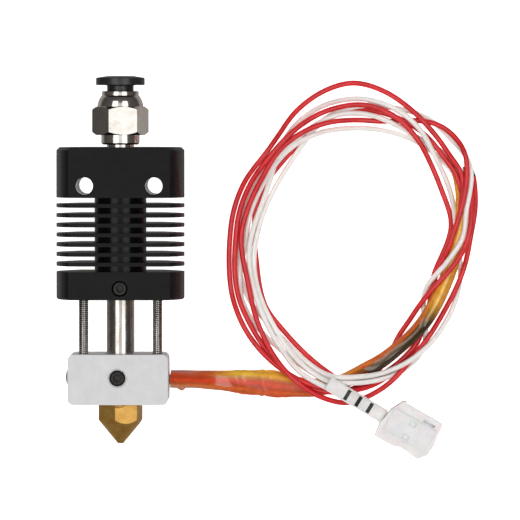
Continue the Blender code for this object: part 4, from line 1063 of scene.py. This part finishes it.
def make_screw_thread(name, side):
    """A fully threaded spacer screw with a true helix."""
    pitch, high, low = 0.4, SPACER_R, SPACER_R - 0.13
    steps, sides = 8, 28
    count = int((SPACER_TOP - SPACER_BOTTOM) / pitch * steps)
    shape = bmesh.new()
    rings = []
    for k in range(count + 1):
        y = SPACER_BOTTOM + (SPACER_TOP - SPACER_BOTTOM) * k / count
        ring = []
        for j in range(sides):
            a = 2 * math.pi * j / sides
            phase = (y / pitch + j / sides) % 1.0
            radius = low + (high - low) * (1 - abs(2 * phase - 1)) ** 0.5
            ring.append(shape.verts.new((side * SPACER_X + radius * math.cos(a), y,
                                         AXIS_Z + radius * math.sin(a))))
        rings.append(ring)
    join_rings(shape, zip(rings, rings[1:]))
    shape.faces.new(rings[0])
    shape.faces.new(rings[-1])
    item = place_mesh(name + "_threaded", shape)
    item.data.shade_smooth()
    item.data.set_sharp_from_angle(angle=math.radians(50))
    settle_piece(item, "bright_steel", name)


def make_grub(name, radius, start, end, slot="black_oxide"):
    """Set screw with a chamfered rim and a hex socket in its outer end."""
    start, end = Vector(start), Vector(end)
    out = (end - start).normalized()
    length = (end - start).length
    profile = [(0.0, length), (radius - 0.28, length), (radius, length - 0.28), (radius, 0.2),
               (radius - 0.2, 0.0), (0.0, 0.0)]
    place = Matrix.Translation(start) @ along(out)
    socket = rod("socket", radius * 0.5 * 2 / math.sqrt(3), end - out * min(1.2, length / 2),
                 end + out, 6, 11.0)
    item = carve(lathe(name + "_socketed", profile, 48, place=place), socket)
    settle_piece(ease(item, 0.04), slot, name)


def make_block():
    """Blasted heater block with rounded uprights, soft edges and its bores."""
    shape = bmesh.new()
    place = Matrix.Translation(BLOCK_CENTRE) @ Matrix.Diagonal((*BLOCK, 1.0))
    bmesh.ops.create_cube(shape, size=1.0, matrix=place)
    upright = [e for e in shape.edges if abs(e.verts[0].co.z - e.verts[1].co.z) > 1]
    bmesh.ops.bevel(shape, geom=upright, offset=BLOCK_CORNER, segments=8, profile=0.5,
                    affect="EDGES")
    block = place_mesh("heater_block_blasted", shape)
    x, y, z = BLOCK_CENTRE
    wide, tall, deep = (side / 2 for side in BLOCK)
    steps = [rod("bore", BLOCK_BORE_R, (0, y - tall - 1, AXIS_Z), (0, y + tall + 1, AXIS_Z), 64),
             rod("cartridge", CARTRIDGE_R + 0.1, (x - wide - 1, y, CARTRIDGE_Z),
                 (x + wide + 1, y, CARTRIDGE_Z), 64),
             rod("bead", THERMISTOR_R + 0.15, (x + wide - 5.3, THERMISTOR_Y, THERMISTOR_Z),
                 (x + wide + 1, THERMISTOR_Y, THERMISTOR_Z), 32),
             rod("screw", GRUB_R + 0.15, (*BLOCK_SCREW, AXIS_Z + 1),
                 (*BLOCK_SCREW, z + deep + 1), 40),
             rod("countersink", GRUB_R, (*BLOCK_SCREW, z + deep - 0.4),
                 (*BLOCK_SCREW, z + deep + 0.4), 64, tip=GRUB_R + 0.96),
             rod("clamp", GRUB_R + 0.15, (CLAMP_SCREW_X, y, CARTRIDGE_Z),
                 (CLAMP_SCREW_X, y - tall - 1, CARTRIDGE_Z), 40)]
    for side in (-1, 1):
        across = side * SPACER_X
        steps.append(rod("spacer", SPACER_R + 0.15, (across, SPACER_BOTTOM - 0.2, AXIS_Z),
                         (across, y + tall + 1, AXIS_Z), 24))
    carve(block, *steps)
    settle_piece(ease(block, 0.28, 4), "blasted_aluminium", "heater_block")
    # The countersink round the set screw takes the near-white bored finish, in part a painted
    # highlight.
    block.data.materials.append(SURFACES["bored_aluminium_painted_highlight"])
    for face in block.data.polygons:
        away = math.dist((face.center.x / MM, face.center.y / MM), BLOCK_SCREW)
        if away < GRUB_R + 0.5 and 0.2 < face.normal.z < 0.95:
            face.material_index = 1


def make_nozzle():
    """Turned nozzle with a chamfered hexagon and a fine orifice."""
    face = BLOCK_CENTRE[1] - BLOCK[1] / 2
    hex_top = face - 0.12
    tip = face - NOZZLE_OUT
    wide = 6.0
    cone = [(0.0, 0.0), (wide, 0.0), (wide, tip + (wide - NOZZLE_TIP_R) * NOZZLE_SLOPE),
            (NOZZLE_TIP_R, tip), (0.0, tip)]
    shank_low = hex_top - 0.5
    shank = [(0.0, SHANK_TOP), (SHANK_R, SHANK_TOP), (SHANK_R, shank_low), (0.0, shank_low)]
    bore = [(0.0, 0.0), (LINER_BORE, 0.0), (LINER_BORE, tip + 1.6), (0.25, tip + 0.7),
            (0.25, tip - 1), (0.0, tip - 1)]
    notch_r = 1.82
    notch_y = hex_top + notch_r - 0.55
    prism = rod("nozzle_turned", NOZZLE_AF / math.sqrt(3), (0, tip - 1, AXIS_Z),
                (0, hex_top, AXIS_Z), 6, NOZZLE_TURN + HEX_FLAT_FIRST)
    item = carve(prism, ("INTERSECT", lathe("cone", cone, 128)),
                 ("UNION", lathe("shank", shank, 96)), lathe("orifice", bore, 32),
                 rod("notch", notch_r, (-0.2, notch_y, AXIS_Z + 3.4),
                     (-0.2, notch_y, AXIS_Z + 6), 64))
    settle_piece(ease(item, 0.06), "brass", "nozzle")


def make_tubes():
    """Heat break and liner on the filament axis, and the heater cartridge."""
    profile = [(BREAK_R, BREAK_TOP), (BREAK_R, BREAK_WAIST), (BREAK_THREAD_R, BREAK_WAIST),
               (BREAK_THREAD_R, BREAK_BOTTOM), (LINER_R + 0.15, BREAK_BOTTOM),
               (LINER_R + 0.15, BREAK_TOP)]
    settle_piece(ease(lathe("heat_break_tube", profile, 96, hollow=True), 0.05),
                 "bright_steel", "heat_break")
    profile = [(LINER_R, LINER_TOP), (LINER_R, LINER_BOTTOM), (LINER_BORE, LINER_BOTTOM),
               (LINER_BORE, LINER_TOP)]
    settle_piece(ease(lathe("liner_tube", profile, 64, hollow=True), 0.04), "ptfe", "ptfe_liner")
    x, y, _ = BLOCK_CENTRE
    wide = BLOCK[0] / 2
    left, right = x - wide - CARTRIDGE_OUT, x + wide - 0.4
    length = right - left
    profile = [(0.0, length), (0.8, length - 0.09), (1.5, length - 0.33), (2.2, length - 0.75),
               (2.7, length - 1.3), (2.95, length - 1.85), (CARTRIDGE_R, length - 2.2),
               (CARTRIDGE_R, 0.2), (CARTRIDGE_R - 0.2, 0.0), (0.0, 0.0)]
    place = Matrix.Translation((right, y, CARTRIDGE_Z)) @ Matrix.Rotation(-math.pi / 2, 4, "Y")
    settle_piece(ease(lathe("cartridge_can", profile, 72, place=place), 0.0),
                 "bright_steel", "heater_cartridge")


def make_plug():
    """Moulded two-way housing with open cavities, a raised middle and soft edges."""
    lie = Matrix.Rotation(math.radians(PLUG_HEADING), 4, "Z")
    centre = Vector((*PLUG_CENTRE, PLUG_T / 2))

    def placed(along_plug, across_plug, height):
        return centre + lie @ Vector((along_plug, across_plug, height))

    shape = bmesh.new()
    place = Matrix.Translation((*PLUG_CENTRE, 0.0)) @ lie
    low = [shape.verts.new(place @ Vector((x, y, 0.0))) for x, y in PLUG_OUTLINE]
    high = [shape.verts.new(place @ Vector((x, y, PLUG_T - PLUG_STEP))) for x, y in PLUG_OUTLINE]
    shape.faces.new(low)
    shape.faces.new(high)
    join_rings(shape, [(low, high)])
    body = place_mesh("plug_housing", shape)
    steps = [("UNION", slab("raised", (9.6, 4.9, 1.2), placed(-0.2, 0.15, PLUG_T / 2 - 0.6), lie))]
    for side in (1, -1):
        middle = side * PIN_PITCH / 2
        steps += [slab("cavity", (PLUG_LENGTH - 1.6, 2.4, 2.6),
                       placed(1.3, middle, 0), lie),
                  rod("entry", 0.75, placed(-PLUG_LENGTH / 2 - 1, middle, 0),
                      placed(0, middle, 0), 24),
                  slab("latch", (1.5, 1.0, 1.2),
                       placed(-0.3, middle * 0.9, PLUG_T / 2), lie)]
    steps.append(slab("slot", (2.6, 0.55, 1.9), placed(2.6, 3.2, PLUG_T / 2 - 0.4), lie))
    carve(body, *steps)
    return settle_piece(ease(body, 0.16, 3), "white_nylon", "connector_housing")


def dress_kept_nodes(nodes, record):
    """Give each CAD node that stays shown the surface of its slot."""
    slots = {row["node"]: row["material_slot"] for row in record["subparts"]}
    for name in ("fitting_grip_ring", "fitting_o_ring", "thermistor_bead", "heater_lead_ferrule_a",
                 "heater_lead_ferrule_b", "connector_terminal_a", "connector_terminal_b"):
        nodes[name].data.materials.clear()
        nodes[name].data.materials.append(SURFACES[slots[name]])


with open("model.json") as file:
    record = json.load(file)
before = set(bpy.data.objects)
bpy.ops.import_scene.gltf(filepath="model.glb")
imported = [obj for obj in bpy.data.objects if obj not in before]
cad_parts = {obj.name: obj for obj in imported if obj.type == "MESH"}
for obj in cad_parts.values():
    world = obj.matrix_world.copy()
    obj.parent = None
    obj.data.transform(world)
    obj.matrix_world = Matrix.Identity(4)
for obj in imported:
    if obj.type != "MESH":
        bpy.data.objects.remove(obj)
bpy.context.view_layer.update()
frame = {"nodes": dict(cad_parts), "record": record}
NODES = frame["nodes"]
make_camera()
SURFACES = make_materials()
laid_leads = lay_leads()
lead_wires = make_wires(laid_leads)
film_piece = make_film(laid_leads[4])
film_tails = make_film_tails(laid_leads[4])
label_piece, label_bars = make_label(laid_leads[5])
plug_piece = make_plug()
make_light()
make_floor()
make_heatsink()
make_fitting()
for thread_side, thread_name in ((-1, "spacer_screw_left"), (1, "spacer_screw_right")):
    make_screw_thread(thread_name, thread_side)
make_grub("heatsink_set_screw", GRUB_R, (*SINK_SCREW, AXIS_Z + BREAK_R + 0.3),
          (*SINK_SCREW, SINK_FRONT - 0.4))
make_grub("block_set_screw", GRUB_R, (*BLOCK_SCREW, AXIS_Z + SHANK_R + 0.25),
          (*BLOCK_SCREW, BLOCK[2] - 0.15))
make_grub("cartridge_set_screw", GRUB_R, (CLAMP_SCREW_X, BLOCK_CENTRE[1] - CARTRIDGE_R - 0.3,
                                          CARTRIDGE_Z),
          (CLAMP_SCREW_X, BLOCK_CENTRE[1] - BLOCK[1] / 2 + 0.2, CARTRIDGE_Z))
make_block()
make_nozzle()
make_tubes()
dress_kept_nodes(NODES, frame["record"])
